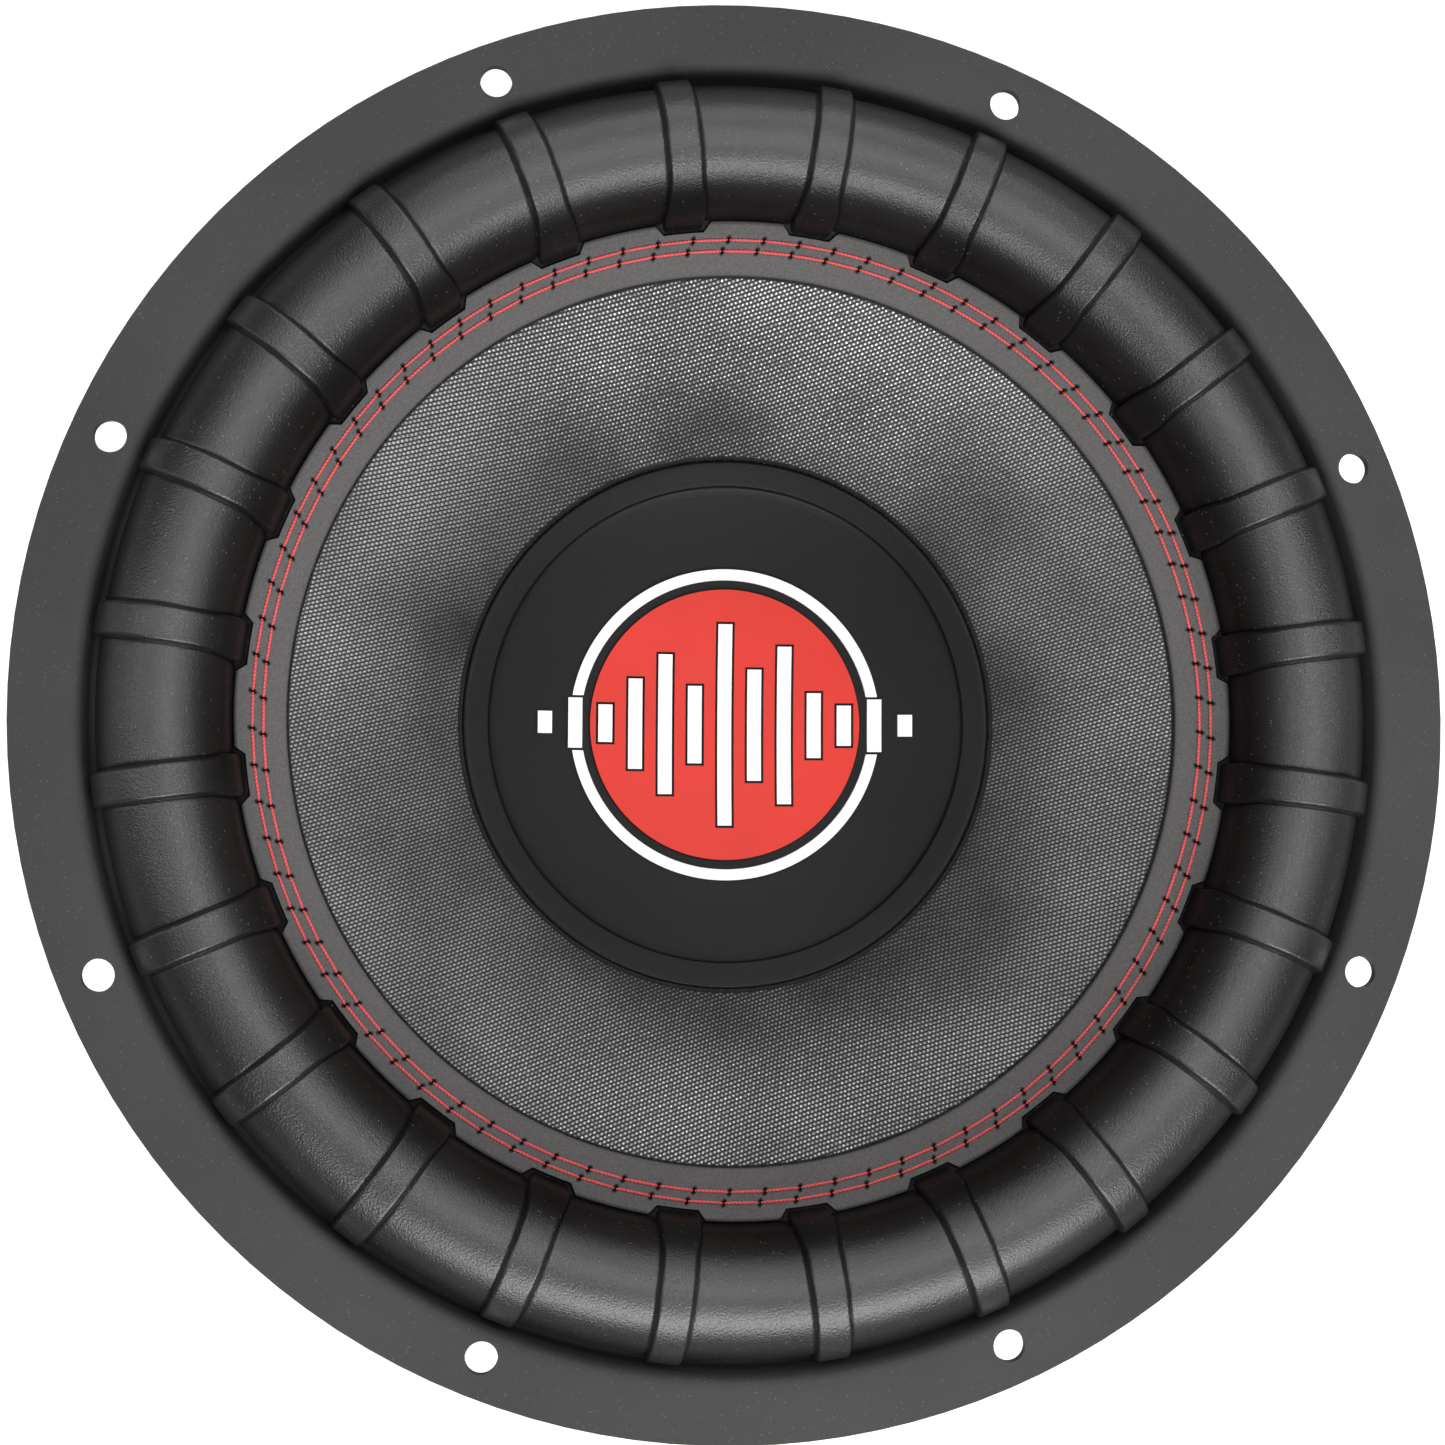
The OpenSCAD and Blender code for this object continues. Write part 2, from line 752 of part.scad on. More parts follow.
module badge_ring() {
    color([0.92, 0.92, 0.92])
        on_dish(badge_t)
            difference() {
                circle(badge_r);
                circle(badge_r - badge_ring_w);
                bar_outlines(bar_gap);
            }
}

module bar_outlines(grow) {
    for (i = [0 : len(bar_lengths) - 1])
        translate([(i - bar_middle) * bar_pitch - bar_w / 2 - grow, -bar_lengths[i] * badge_r / 2 - grow])
            square([bar_w + 2 * grow, bar_lengths[i] * badge_r + 2 * grow]);
}

module badge_disc() {
    color([0.75, 0.05, 0.06])
        on_dish(badge_t)
            difference() {
                circle(badge_disc_r);
                bar_outlines(bar_gap);
            }
}

module badge_bars() {
    color([0.92, 0.92, 0.92])
        on_dish(badge_t)
            bar_outlines(0);
}

module former() {
    color([0.75, 0.6, 0.35])
        ring(former_r, sleeve_r, former_z, former_top);
}

module winding_inner() {
    color([0.72, 0.42, 0.2])
        ring(winding_r, winding_r + winding_t, winding_z, winding_z + winding_h);
}

module winding_outer() {
    color([0.72, 0.42, 0.2])
        ring(coil_out_r - winding_t, coil_out_r, winding_z, winding_z + winding_h);
}

module glue_ring(z) {
    color([0.15, 0.12, 0.1])
        revolve([[sleeve_r + skin_gap, z], [sleeve_r + glue_w, z], [sleeve_r + skin_gap, z + glue_h]]);
}

module glue_upper() {
    glue_ring(top_spider_z + soft_gap);
}

module glue_lower() {
    glue_ring(low_spider_z + soft_gap);
}

// ---- terminals and leads ----

module terminal(side) {
    color([0.07, 0.07, 0.07])
        at_terminal(side)
            difference() {
                union() {
                    block([0, term_depth], [-term_w / 2, term_w / 2], [-term_h / 2, term_h / 2]);
                    block([0, ear_t], [-ear_y - 4.5, ear_y + 4.5], [-7, 7]);
                    block([-boss_in, 1], [-boss_w / 2, boss_w / 2], [-boss_h / 2, boss_h / 2]);
                }
                for (y = [-pole_y, pole_y]) {
                    half = button_w / 2 + 0.2;
                    block([term_depth - button_depth, term_depth + 1], [y - half, y + half],
                          [button_z - half, button_z + half]);
                    translate([term_depth - wire_len - 1, y, wire_z])
                        rotate([0, 90, 0])
                            cylinder(h = wire_len + 2, r = wire_r, $fn = 48);
                    block([-1, term_depth - wire_len], [y - tab_w / 2 - 0.2, y + tab_w / 2 + 0.2],
                          [wire_z - wire_r - 0.6, 0.6]);
                    block([-boss_in - 1, 1], [y - tab_w / 2 - 0.1, y + tab_w / 2 + 0.1],
                          [-tab_t / 2 - 0.1, tab_t / 2 + 0.1]);
                }
                for (y = [-ear_y, ear_y])
                    translate([-1, y, 0])
                        rotate([0, 90, 0])
                            cylinder(h = ear_t + 2, r = rivet_r + screw_slack, $fn = 32);
            }
}

module terminal_1() {
    terminal(0);
}

module terminal_2() {
    terminal(180);
}

// Odd pieces are on the black side, and pieces 2 and 3 belong to the second terminal
function side_of(i) = i < 2 ? 0 : 180;
function pole_of(i) = i % 2 == 0 ? 1 : -1;
function pole_colour(i) = i % 2 == 0 ? [0.72, 0.05, 0.05] : [0.03, 0.03, 0.03];

module button(i) {
    half = button_w / 2;
    y = pole_of(i) * pole_y;
    color(pole_colour(i))
        at_terminal(side_of(i))
            difference() {
                block([term_depth - button_depth + button_travel + 0.5, term_depth + button_travel + 0.5],
                      [y - half, y + half], [button_z - half, button_z + half]);
                translate([term_depth + button_travel + 4.5, y, button_z])
                    rotate([90, 0, 0])
                        cylinder(h = 2 * button_w, r = 5, center = true, $fn = 64);
            }
}

module contact(i) {
    y = pole_of(i) * pole_y;
    plate_x = term_depth - wire_len - 1;
    color([0.8, 0.78, 0.7])
        at_terminal(side_of(i)) {
            block([-boss_in - tab_in, plate_x + tab_t], [y - tab_w / 2, y + tab_w / 2],
                  [-tab_t / 2, tab_t / 2]);
            block([plate_x, plate_x + tab_t], [y - tab_w / 2, y + tab_w / 2], [wire_z - wire_r, 0]);
        }
}

module rivet(i) {
    y = pole_of(i) * ear_y;
    inside = sheet_t + pad_proud + 3.2;
    color([0.75, 0.75, 0.77])
        at_terminal(side_of(i))
            translate([0, y, 0])
                rotate([0, 90, 0]) {
                    translate([0, 0, -inside])
                        cylinder(h = ear_t + inside + 0.1, r = rivet_r, $fn = 32);
                    translate([0, 0, ear_t])
                        cylinder(h = 1.4, r1 = 3.6, r2 = 2.6, $fn = 48);
                }
}

module lead(i) {
    flip = pole_of(i);
    color([0.7, 0.5, 0.3])
        rotate([0, 0, side_of(i)])
            tube([for (p = lead_route) [p[0], p[1] * flip, p[2]]], lead_d / 2);
}

module lead_tag(i) {
    angle = atan2(lead_route[0][1], lead_route[0][0]) * pole_of(i);
    color([0.8, 0.5, 0.25])
        rotate([0, 0, side_of(i) + angle])
            intersection() {
                ring(sleeve_r + skin_gap, sleeve_r + skin_gap + tag_t, tag_z, tag_z + tag_h);
                translate([0, -tag_w / 2, 0])
                    cube([big, tag_w, big]);
            }
}

basket();
front_plate();
magnet_front();
magnet_rear();
yoke();
shorting_ring();
magnet_boot();
vent_mesh();
spider_upper();
spider_lower();
spider_spacer();
surround();
cone_paper();
cone_skin();
stitch_outer();
stitch_inner();
dust_cap();
cap_bead();
badge_ring();
badge_disc();
badge_bars();
former();
winding_inner();
winding_outer();
glue_upper();
glue_lower();
terminal_1();
terminal_2();
for (i = [0 : 3]) {
    button(i);
    contact(i);
    rivet(i);
    lead(i);
    lead_tag(i);
}
for (i = [0 : screw_count - 1])
    plate_screw(i);
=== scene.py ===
# %% [markdown]
# # A 12 inch car subwoofer
# The CAD frame holds every part at its real size and place. This lesson dresses it: the ribbed foam
# surround, the woven cone, the stitched lip, the dished dust cap and the parts behind them are worked out
# as surfaces with numpy, and each gets a procedural material. Lengths are worked out in millimetres,
# because that is how a speaker maker thinks, and turned into metres when a mesh is made.

# %% Load the frame
import math

import bmesh
import bpy
import numpy as np
from mathutils import Matrix, Vector


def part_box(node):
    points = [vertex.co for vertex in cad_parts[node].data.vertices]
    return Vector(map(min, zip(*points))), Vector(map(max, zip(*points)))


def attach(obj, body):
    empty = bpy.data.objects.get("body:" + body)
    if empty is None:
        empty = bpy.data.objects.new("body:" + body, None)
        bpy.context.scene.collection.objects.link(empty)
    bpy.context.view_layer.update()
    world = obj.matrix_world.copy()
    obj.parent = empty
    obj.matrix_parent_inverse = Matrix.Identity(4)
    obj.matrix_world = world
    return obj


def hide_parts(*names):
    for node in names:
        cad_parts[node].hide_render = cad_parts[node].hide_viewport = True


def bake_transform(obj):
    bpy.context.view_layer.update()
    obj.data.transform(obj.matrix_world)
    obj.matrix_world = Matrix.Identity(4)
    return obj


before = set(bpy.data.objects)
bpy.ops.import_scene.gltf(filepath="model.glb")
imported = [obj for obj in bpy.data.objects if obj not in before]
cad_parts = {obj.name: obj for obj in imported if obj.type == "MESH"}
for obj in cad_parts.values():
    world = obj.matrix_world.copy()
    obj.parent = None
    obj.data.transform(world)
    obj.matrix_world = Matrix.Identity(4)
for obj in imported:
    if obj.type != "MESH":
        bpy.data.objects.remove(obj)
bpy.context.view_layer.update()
MM = 0.001
TURN = 2 * math.pi

# %% [markdown]
# ## Sizes taken from the frame
# Heights and reaches come from the boxes of the CAD nodes, so the new surfaces land where the CAD put the
# old ones. A few sizes that a box can't give, such as the thickness of the foam, are named here.


# %% Read heights and reaches
def low(node):
    """Lowest height of a CAD node, in millimetres."""
    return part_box(node)[0][2] / MM


def top(node):
    """Highest height of a CAD node, in millimetres."""
    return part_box(node)[1][2] / MM


def reach(node):
    """Largest distance of a round CAD node from the axis, in millimetres."""
    return max(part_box(node)[1][0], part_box(node)[1][1]) / MM


FRONT = top("basket")
FLANGE_R = reach("basket")
WALL_R = FLANGE_R - 14.8
ROLL_W, ROLL_GAP, RIB_RISE, FOAM_T = 27.5, 2.4, 1.6, 1.8
ROLL_R = ROLL_W / 2
ROLL_OUT = WALL_R - ROLL_GAP
ROLL_MID = ROLL_OUT - ROLL_R
ROLL_IN = ROLL_OUT - ROLL_W
ROLL_Z = top("surround") - RIB_RISE - ROLL_R
FOOT_Z = low("surround")
RIB_COUNT, RIB_W = 24, 7.8
EDGE_R, EDGE_Z = reach("cone_skin"), top("cone_skin")
NECK_R, NECK_Z = 38.7, FRONT - 64
SKIN_T, LIP_T, LIP_W, SOFT_GAP = 0.5, 1.2, 11.0, 0.3
LIP_IN = ROLL_IN - LIP_W
SWELL = 1.0
print(f"flange {FLANGE_R:.1f} at {FRONT:.1f}, roll {ROLL_IN:.1f} to {ROLL_OUT:.1f}, crest {ROLL_Z + ROLL_R:.1f}")


# %% The cone's flare, shared by everything that lies on it
def cone_z(r):
    """Height of the cone's front face: a straight flare from neck to edge, plus a parabola that swells it."""
    u = (np.asarray(r, float) - NECK_R) / (EDGE_R - NECK_R)
    return NECK_Z + (EDGE_Z - NECK_Z) * u + 4 * SWELL * u * (1 - u)


def lip_z(r):
    """Height of the stitched lip's front face: the cone's own height plus the glue line and the lip."""
    return cone_z(r) + SOFT_GAP + LIP_T


print("cone at the cap's edge", round(float(cone_z(64.5)), 2), "lip", round(float(lip_z(LIP_IN)), 2))

# %% [markdown]
# ## Two tools: a grid of points, and a revolved outline
# Almost every speaker part is round, so one helper turns a grid of points into a mesh, with a UV map in
# millimetres, and another spins an outline about the axis to make that grid.


# %% Mesh helpers
def smoothstep(x):
    """0 below 0, 1 above 1, and 3x^2 - 2x^3 between."""
    x = np.clip(x, 0, 1)
    return x * x * (3 - 2 * x)


def new_object(name, points, faces, sharp=40):
    """An object at the origin from points in millimetres, shaded smooth but for edges over sharp degrees."""
    mesh = bpy.data.meshes.new(name)
    mesh.from_pydata((np.asarray(points, float).reshape(-1, 3) * MM).tolist(), [], [list(f) for f in faces])
    mesh.shade_smooth()
    mesh.set_sharp_from_angle(angle=math.radians(sharp))
    obj = bpy.data.objects.new(name, mesh)
    bpy.context.collection.objects.link(obj)
    return obj


def outward(obj):
    """Faces of a closed mesh turned to point out of it."""
    shell = bmesh.new()
    shell.from_mesh(obj.data)
    bmesh.ops.recalc_face_normals(shell, faces=shell.faces)
    shell.to_mesh(obj.data)
    shell.free()
    return obj


def grid(name, points, closed=True, around=True, uv=None, sharp=40):
    """Mesh over points[row, column]: rows run along the outline and close on themselves where closed is true,
    columns run round the axis. uv[row, column] has one row and one column more than the points."""
    rows, cols = points.shape[:2]
    i, j = np.meshgrid(np.arange(rows if closed else rows - 1), np.arange(cols if around else cols - 1),
                       indexing="ij")
    i, j = i.ravel(), j.ravel()
    near, far = (j, i), ((j + 1), (i + 1))
    quads = np.stack([near[1] * cols + near[0], near[1] * cols + far[0] % cols,
                      far[1] % rows * cols + far[0] % cols, far[1] % rows * cols + near[0]], axis=1)
    obj = new_object(name, points, quads.tolist(), sharp)
    if uv is not None:
        corners = np.stack([uv[i, j], uv[i, j + 1], uv[i + 1, j + 1], uv[i + 1, j]], axis=1)
        obj.data.uv_layers.new(name="Surface").data.foreach_set("uv", corners.astype(np.float32).ravel())
    return obj


def lengths(outline):
    """Distance run along an outline at each of its points, back to the start for one more."""
    steps = np.linalg.norm(np.diff(np.vstack([outline, outline[:1]]), axis=0), axis=1)
    return np.concatenate([[0], np.cumsum(steps)])


def revolve(name, outline, columns=180, sharp=40):
    """A closed outline of (radius, height) spun about the axis: x = r cos a, y = r sin a, z = height.
    U is the distance round at the outline's mean radius and V the distance along the outline, both in mm."""
    outline = np.asarray(outline, float)
    a = np.arange(columns) * TURN / columns
    r, z = outline[:, :1], outline[:, 1:]
    points = np.stack([r * np.cos(a), r * np.sin(a), np.broadcast_to(z, (len(outline), columns))], axis=2)
    u = np.arange(columns + 1) / columns * TURN * outline[:, 0].mean()
    uv = np.stack(np.broadcast_arrays(u[None, :], lengths(outline)[:, None]), axis=2)
    return outward(grid(name, points, uv=uv, sharp=sharp))


def arc(centre, radius, start, end, count):
    """Points of a circular arc in the (radius, height) plane, with its angles in degrees."""
    a = np.radians(np.linspace(start, end, count))
    return np.stack([centre[0] + radius * np.cos(a), centre[1] + radius * np.sin(a)], axis=1)


def finish_piece(obj, body, slot, material, *nodes):
    """The piece gets its material, rides on its body and stands for its CAD nodes."""
    obj.data.materials.clear()
    obj.data.materials.append(material)
    if body:
        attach(obj, body)
    if nodes:
        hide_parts(*nodes)
    print(f"{obj.name}: {len(obj.data.polygons)} faces")
    return obj


# %% [markdown]
# ## Shared effects as node groups
# Moulded foam, powder coat, paper and plastic all have a fine grain, and cloth has a weave. Each effect is
# one node group with named inputs, placed in a material with that finish's own values.


# %% Node helpers
def link_in(tree, socket, value):
    """A socket is fed by a link where value is a socket, and set where it is a plain value."""
    if isinstance(value, bpy.types.NodeSocket):
        tree.links.new(value, socket)
    else:
        socket.default_value = value


def add(tree, kind, **inputs):
    """A node of that kind. Names that are its properties are set, and the others are its inputs."""
    node = tree.nodes.new(kind)
    for key, value in inputs.items():
        name = key.replace("_", " ")
        if hasattr(node, key):
            setattr(node, key, value)
        else:
            link_in(tree, node.inputs[name], value)
    return node


def maths(tree, operation, *values):
    node = tree.nodes.new("ShaderNodeMath")
    node.operation = operation
    for socket, value in zip(node.inputs, values):
        link_in(tree, socket, value)
    return node.outputs[0]


def blend_colour(tree, factor, first, second, mode="MIX"):
    node = tree.nodes.new("ShaderNodeMix")
    node.data_type, node.blend_type = "RGBA", mode
    link_in(tree, node.inputs[0], factor)
    link_in(tree, node.inputs[6], first)
    link_in(tree, node.inputs[7], second)
    return node.outputs[2]


def stretch(tree, value, low_in, high_in, low_out, high_out):
    node = tree.nodes.new("ShaderNodeMapRange")
    for socket, v in zip(node.inputs, (value, low_in, high_in, low_out, high_out)):
        link_in(tree, socket, v)
    return node.outputs[0]


def group(name, inputs, outputs):
    """An empty node group with float or vector inputs, given as {name: default}, and float outputs."""
    tree = bpy.data.node_groups.new(name, "ShaderNodeTree")
    for label, value in inputs.items():
        kind = "NodeSocketVector" if value is None else "NodeSocketFloat"
        socket = tree.interface.new_socket(label, in_out="INPUT", socket_type=kind)
        if value is not None:
            socket.default_value = value
    for label in outputs:
        tree.interface.new_socket(label, in_out="OUTPUT", socket_type="NodeSocketFloat")
    return tree, tree.nodes.new("NodeGroupInput").outputs, tree.nodes.new("NodeGroupOutput").inputs


def place(tree, name, **inputs):
    """One of the groups, placed in a material with its own values."""
    node = tree.nodes.new("ShaderNodeGroup")
    node.node_tree = bpy.data.node_groups[name]
    for key, value in inputs.items():
        link_in(tree, node.inputs[key.replace("_", " ")], value)
    return node.outputs


# %% Grain: fine bumps, with larger blotches of tone
def make_grain():
    """Bumps is fine noise of Size millimetres. Blotch is soft noise of Blotch Size millimetres, for tone.
    Specks are the few cells, about one in fifty, that hold a bright grain."""
    tree, given, out = group("Grain", {"Vector": None, "Size": 0.5, "Blotch Size": 30.0},
                             ["Bumps", "Blotch", "Specks"])
    fine = add(tree, "ShaderNodeTexNoise", Vector=given["Vector"], Detail=3.0, Roughness=0.6,
               Scale=maths(tree, "DIVIDE", 1 / MM, given["Size"]))
    cells = add(tree, "ShaderNodeTexVoronoi", Vector=given["Vector"],
                Scale=maths(tree, "DIVIDE", 1 / MM, given["Size"]))
    wide = add(tree, "ShaderNodeTexNoise", Vector=given["Vector"], Detail=4.0,
               Scale=maths(tree, "DIVIDE", 1 / MM, given["Blotch Size"]))
    mixed = maths(tree, "ADD", fine.outputs[0], maths(tree, "MULTIPLY", cells.outputs[0], 0.5))
    link_in(tree, out["Bumps"], mixed)
    link_in(tree, out["Blotch"], wide.outputs[0])
    lot = add(tree, "ShaderNodeSeparateXYZ", Vector=cells.outputs["Color"])
    chosen = stretch(tree, lot.outputs[0], 0.975, 0.985, 0.0, 1.0)
    middle = stretch(tree, cells.outputs[0], 0.45, 0.2, 0.0, 1.0)
    link_in(tree, out["Specks"], maths(tree, "MULTIPLY", chosen, middle))


# %% Weave: threads over and under
def make_weave():
    """Plain weave on a UV map in millimetres. Threads stand Pitch apart along a row, and rows stand Rows apart.
    With p the phase along a row and q the phase across it, the cells where sin(p) sin(q) > 0 show the warp, so
    the weft's floats stand staggered from row to row. Height is that of the thread on top, |sin p| or |sin q|,
    Float is 1 along the middle of a weft float, and Gap is 1 in the dark line between two rows."""
    tree, given, out = group("Weave", {"Vector": None, "Pitch": 0.62, "Rows": 0.62, "Wander": 0.12},
                             ["Height", "Float", "Gap"])
    drift = add(tree, "ShaderNodeTexNoise", Vector=given["Vector"], Scale=0.35, Detail=2.0)
    parts = add(tree, "ShaderNodeSeparateXYZ", Vector=given["Vector"])
    sway = maths(tree, "MULTIPLY", maths(tree, "SUBTRACT", drift.outputs[0], 0.5), given["Wander"])
    p, q = (maths(tree, "SINE", maths(tree, "MULTIPLY", maths(tree, "ADD", parts.outputs[k], sway),
                                      maths(tree, "DIVIDE", math.pi, given[pitch])))
            for k, pitch in enumerate(("Pitch", "Rows")))
    side = stretch(tree, maths(tree, "MULTIPLY", p, q), -0.3, 0.3, 0.0, 1.0)
    weft_side = maths(tree, "SUBTRACT", 1.0, side)
    across = maths(tree, "ABSOLUTE", q)
    warp = maths(tree, "MULTIPLY", maths(tree, "POWER", maths(tree, "ABSOLUTE", p), 0.6), side)
    weft = maths(tree, "MULTIPLY", maths(tree, "POWER", across, 0.6), weft_side)
    link_in(tree, out["Height"], maths(tree, "MAXIMUM", warp, weft))
    link_in(tree, out["Float"], maths(tree, "MULTIPLY", stretch(tree, across, 0.35, 0.95, 0.0, 1.0),
                                      stretch(tree, weft_side, 0.0, 0.75, 0.12, 1.0)))
    link_in(tree, out["Gap"], stretch(tree, across, 0.25, 0.7, 1.0, 0.0))


make_grain()
make_weave()
print("groups", [g.name for g in bpy.data.node_groups])


# %% A material's common start
def material(name, colour, roughness, metallic=0.0, **sockets):
    """A Principled material with plain values on its own sockets; returns it with its tree and its shader."""
    made = bpy.data.materials.new(name)
    made.use_nodes = True
    shader = made.node_tree.nodes["Principled BSDF"]
    shader.inputs["Base Color"].default_value = (*colour, 1)
    shader.inputs["Roughness"].default_value = roughness
    shader.inputs["Metallic"].default_value = metallic
    for key, value in sockets.items():
        shader.inputs[key.replace("_", " ")].default_value = value
    return made, made.node_tree, shader


def object_coords(tree):
    return tree.nodes.new("ShaderNodeTexCoord").outputs["Object"]


def surface_coords(tree):
    return tree.nodes.new("ShaderNodeUVMap").outputs["UV"]


def bump(tree, shader, height, distance, strength=1.0):
    """Height drives the shader's normal, with distance in millimetres."""
    node = add(tree, "ShaderNodeBump", Strength=strength, Distance=distance * MM, Height=height)
    link_in(tree, shader.inputs["Normal"], node.outputs[0])
    return node


def grained(name, colour, roughness, size, depth, variation=0.25, blotch=30.0, metallic=0.0, speck=None, **sockets):
    """A moulded or coated finish: fine bumps of that size and depth in mm, tone that wanders, and specks."""
    made, tree, shader = material(name, colour, roughness, metallic, **sockets)
    grain = place(tree, "Grain", Vector=object_coords(tree), Size=size, Blotch_Size=blotch)
    dark, light = ([c * k for c in colour] + [1] for k in (1 - variation, 1 + variation))
    tone = blend_colour(tree, stretch(tree, grain["Blotch"], 0.35, 0.65, 0.0, 1.0), dark, light)
    if speck:
        tone = blend_colour(tree, grain["Specks"], tone, [*speck, 1])
    link_in(tree, shader.inputs["Base Color"], tone)
    link_in(tree, shader.inputs["Roughness"],
            stretch(tree, grain["Bumps"], 0.2, 1.0, max(roughness - 0.08, 0.05), min(roughness + 0.08, 1.0)))
    bump(tree, shader, grain["Bumps"], depth)
    return made


# %% [markdown]
# ## Finishes
# Each finish is named for the part that wears it. The steel basket has a fine textured powder coat, the
# foam a closed satin skin, the cap a leather-like grain. The weave is a glass-like cloth whose threads
# catch the light one by one.


# %% Plain finishes
POWDER = grained("powder_coat", (0.038, 0.037, 0.037), 0.72, 0.34, 0.05, 0.1, 60.0, speck=(0.13, 0.13, 0.13),
                Specular_IOR_Level=0.35)
STEEL = grained("zinc_plate", (0.52, 0.53, 0.55), 0.38, 0.6, 0.01, 0.12, 12.0, metallic=1.0)
FERRITE = grained("ferrite", (0.06, 0.06, 0.065), 0.5, 0.8, 0.03, 0.25, 15.0)
BOOT = grained("boot_rubber", (0.022, 0.022, 0.022), 0.5, 0.35, 0.02, 0.2, 40.0)
BOARD = grained("pressed_board", (0.03, 0.03, 0.03), 0.8, 0.5, 0.05, 0.3, 10.0)
PAPER = grained("paper_pulp", (0.05, 0.045, 0.04), 0.85, 1.2, 0.12, 0.35, 8.0)
GLUE = grained("black_glue", (0.004, 0.004, 0.004), 0.6, 2.0, 0.03, 0.2, 10.0, Specular_IOR_Level=0.2)
AMBER = grained("amber_glue", (0.09, 0.055, 0.03), 0.22, 2.0, 0.05, 0.2, 10.0)
PLASTIC = grained("terminal_plastic", (0.025, 0.025, 0.025), 0.42, 0.25, 0.012, 0.1, 20.0)
RED_KEY = grained("red_key", (0.55, 0.02, 0.02), 0.32, 0.3, 0.006, 0.08, 10.0)
BLACK_KEY = grained("black_key", (0.018, 0.018, 0.018), 0.32, 0.3, 0.006, 0.08, 10.0)
BRASS = grained("tinned_brass", (0.78, 0.72, 0.58), 0.3, 0.4, 0.006, 0.1, 4.0, metallic=1.0)
RIVET = grained("rivet_aluminium", (0.72, 0.72, 0.74), 0.3, 0.4, 0.006, 0.1, 4.0, metallic=1.0)
SCREW = grained("black_oxide", (0.05, 0.05, 0.055), 0.35, 0.4, 0.006, 0.15, 4.0, metallic=0.8)
WHITE = grained("badge_white", (0.78, 0.78, 0.78), 0.4, 0.3, 0.004, 0.02, 20.0)
RED = grained("badge_red", (0.556, 0.024, 0.014), 0.42, 0.3, 0.004, 0.05, 20.0, Specular_IOR_Level=0.3)
CAP = grained("cap_leather", (0.003, 0.003, 0.0031), 0.4, 0.5, 0.04, 0.15, 40.0, Specular_IOR_Level=0.2)
FORMER = grained("glass_former", (0.42, 0.27, 0.09), 0.35, 0.9, 0.03, 0.15, 8.0)
AL_RING = grained("turned_aluminium", (0.8, 0.8, 0.82), 0.3, 0.5, 0.01, 0.05, 9.0, metallic=1.0)
print("materials", len(bpy.data.materials))


# %% Foam: the surround's skin, with a lighter rubbed lip and needle holes
STITCHES = 84
CAP_R = 63.8
ROW_OUT, ROW_IN = ROLL_IN - 4.1, ROLL_IN - 6.3


def foam_material():
    """Satin foam. The surround's UV map holds the stitch count round and the radius in mm, so the needle
    holes are dark spots where the count's fraction is near zero and the radius is near a row's."""
    made, tree, shader = material("surround_foam", (0.012, 0.0115, 0.0115), 0.3)
    grain = place(tree, "Grain", Vector=object_coords(tree), Size=0.48, Blotch_Size=25.0)
    parts = add(tree, "ShaderNodeSeparateXYZ", Vector=surface_coords(tree))
    spots = []
    for row, shift in ((ROW_OUT, 0.5), (ROW_IN, 0.67)):
        beat = maths(tree, "FRACT", maths(tree, "ADD", parts.outputs[0], 1.5 - shift))
        across = maths(tree, "MULTIPLY", maths(tree, "SUBTRACT", beat, 0.5), TURN * row / STITCHES)
        out = maths(tree, "SUBTRACT", parts.outputs[1], row)
        long = maths(tree, "MULTIPLY", maths(tree, "SUBTRACT", out, maths(tree, "MULTIPLY", across, 0.5)), 0.62)
        wide = maths(tree, "ADD", across, maths(tree, "MULTIPLY", out, 0.5))
        squares = [maths(tree, "POWER", side, 2.0) for side in (long, wide)]
        away = maths(tree, "SQRT", maths(tree, "ADD", *squares))
        spots.append(stretch(tree, away, 0.42, 0.78, 1.0, 0.0))
    holes = maths(tree, "MAXIMUM", *spots)
    lip = stretch(tree, parts.outputs[1], ROLL_IN - 0.4, ROLL_IN - 1.2, 0.0, 1.0)
    tone = blend_colour(tree, stretch(tree, grain["Blotch"], 0.35, 0.65, 0.0, 1.0),
                        (0.007, 0.0067, 0.0067, 1), (0.012, 0.0115, 0.0115, 1))
    tone = blend_colour(tree, grain["Specks"], tone, (0.11, 0.11, 0.11, 1))
    felt = blend_colour(tree, stretch(tree, grain["Bumps"], 0.35, 0.9, 0.0, 1.0),
                        (0.08, 0.077, 0.076, 1), (0.125, 0.12, 0.119, 1))
    tone = blend_colour(tree, lip, tone, felt)
    tone = blend_colour(tree, holes, tone, (0.004, 0.004, 0.004, 1))
    link_in(tree, shader.inputs["Base Color"], tone)
    rough = stretch(tree, grain["Bumps"], 0.2, 1.0, 0.27, 0.4)
    link_in(tree, shader.inputs["Roughness"], maths(tree, "ADD", rough, maths(tree, "MULTIPLY", lip, 0.5)))
    link_in(tree, shader.inputs["Specular IOR Level"],
            stretch(tree, parts.outputs[1], ROLL_IN + 10.5, ROLL_IN + 17, 0.06, 0.8))
    bumps, pits = maths(tree, "MULTIPLY", grain["Bumps"], 0.085), maths(tree, "MULTIPLY", holes, 0.5)
    height = maths(tree, "SUBTRACT", bumps, pits)
    bump(tree, shader, height, 1.0)
    return made


FOAM = foam_material()


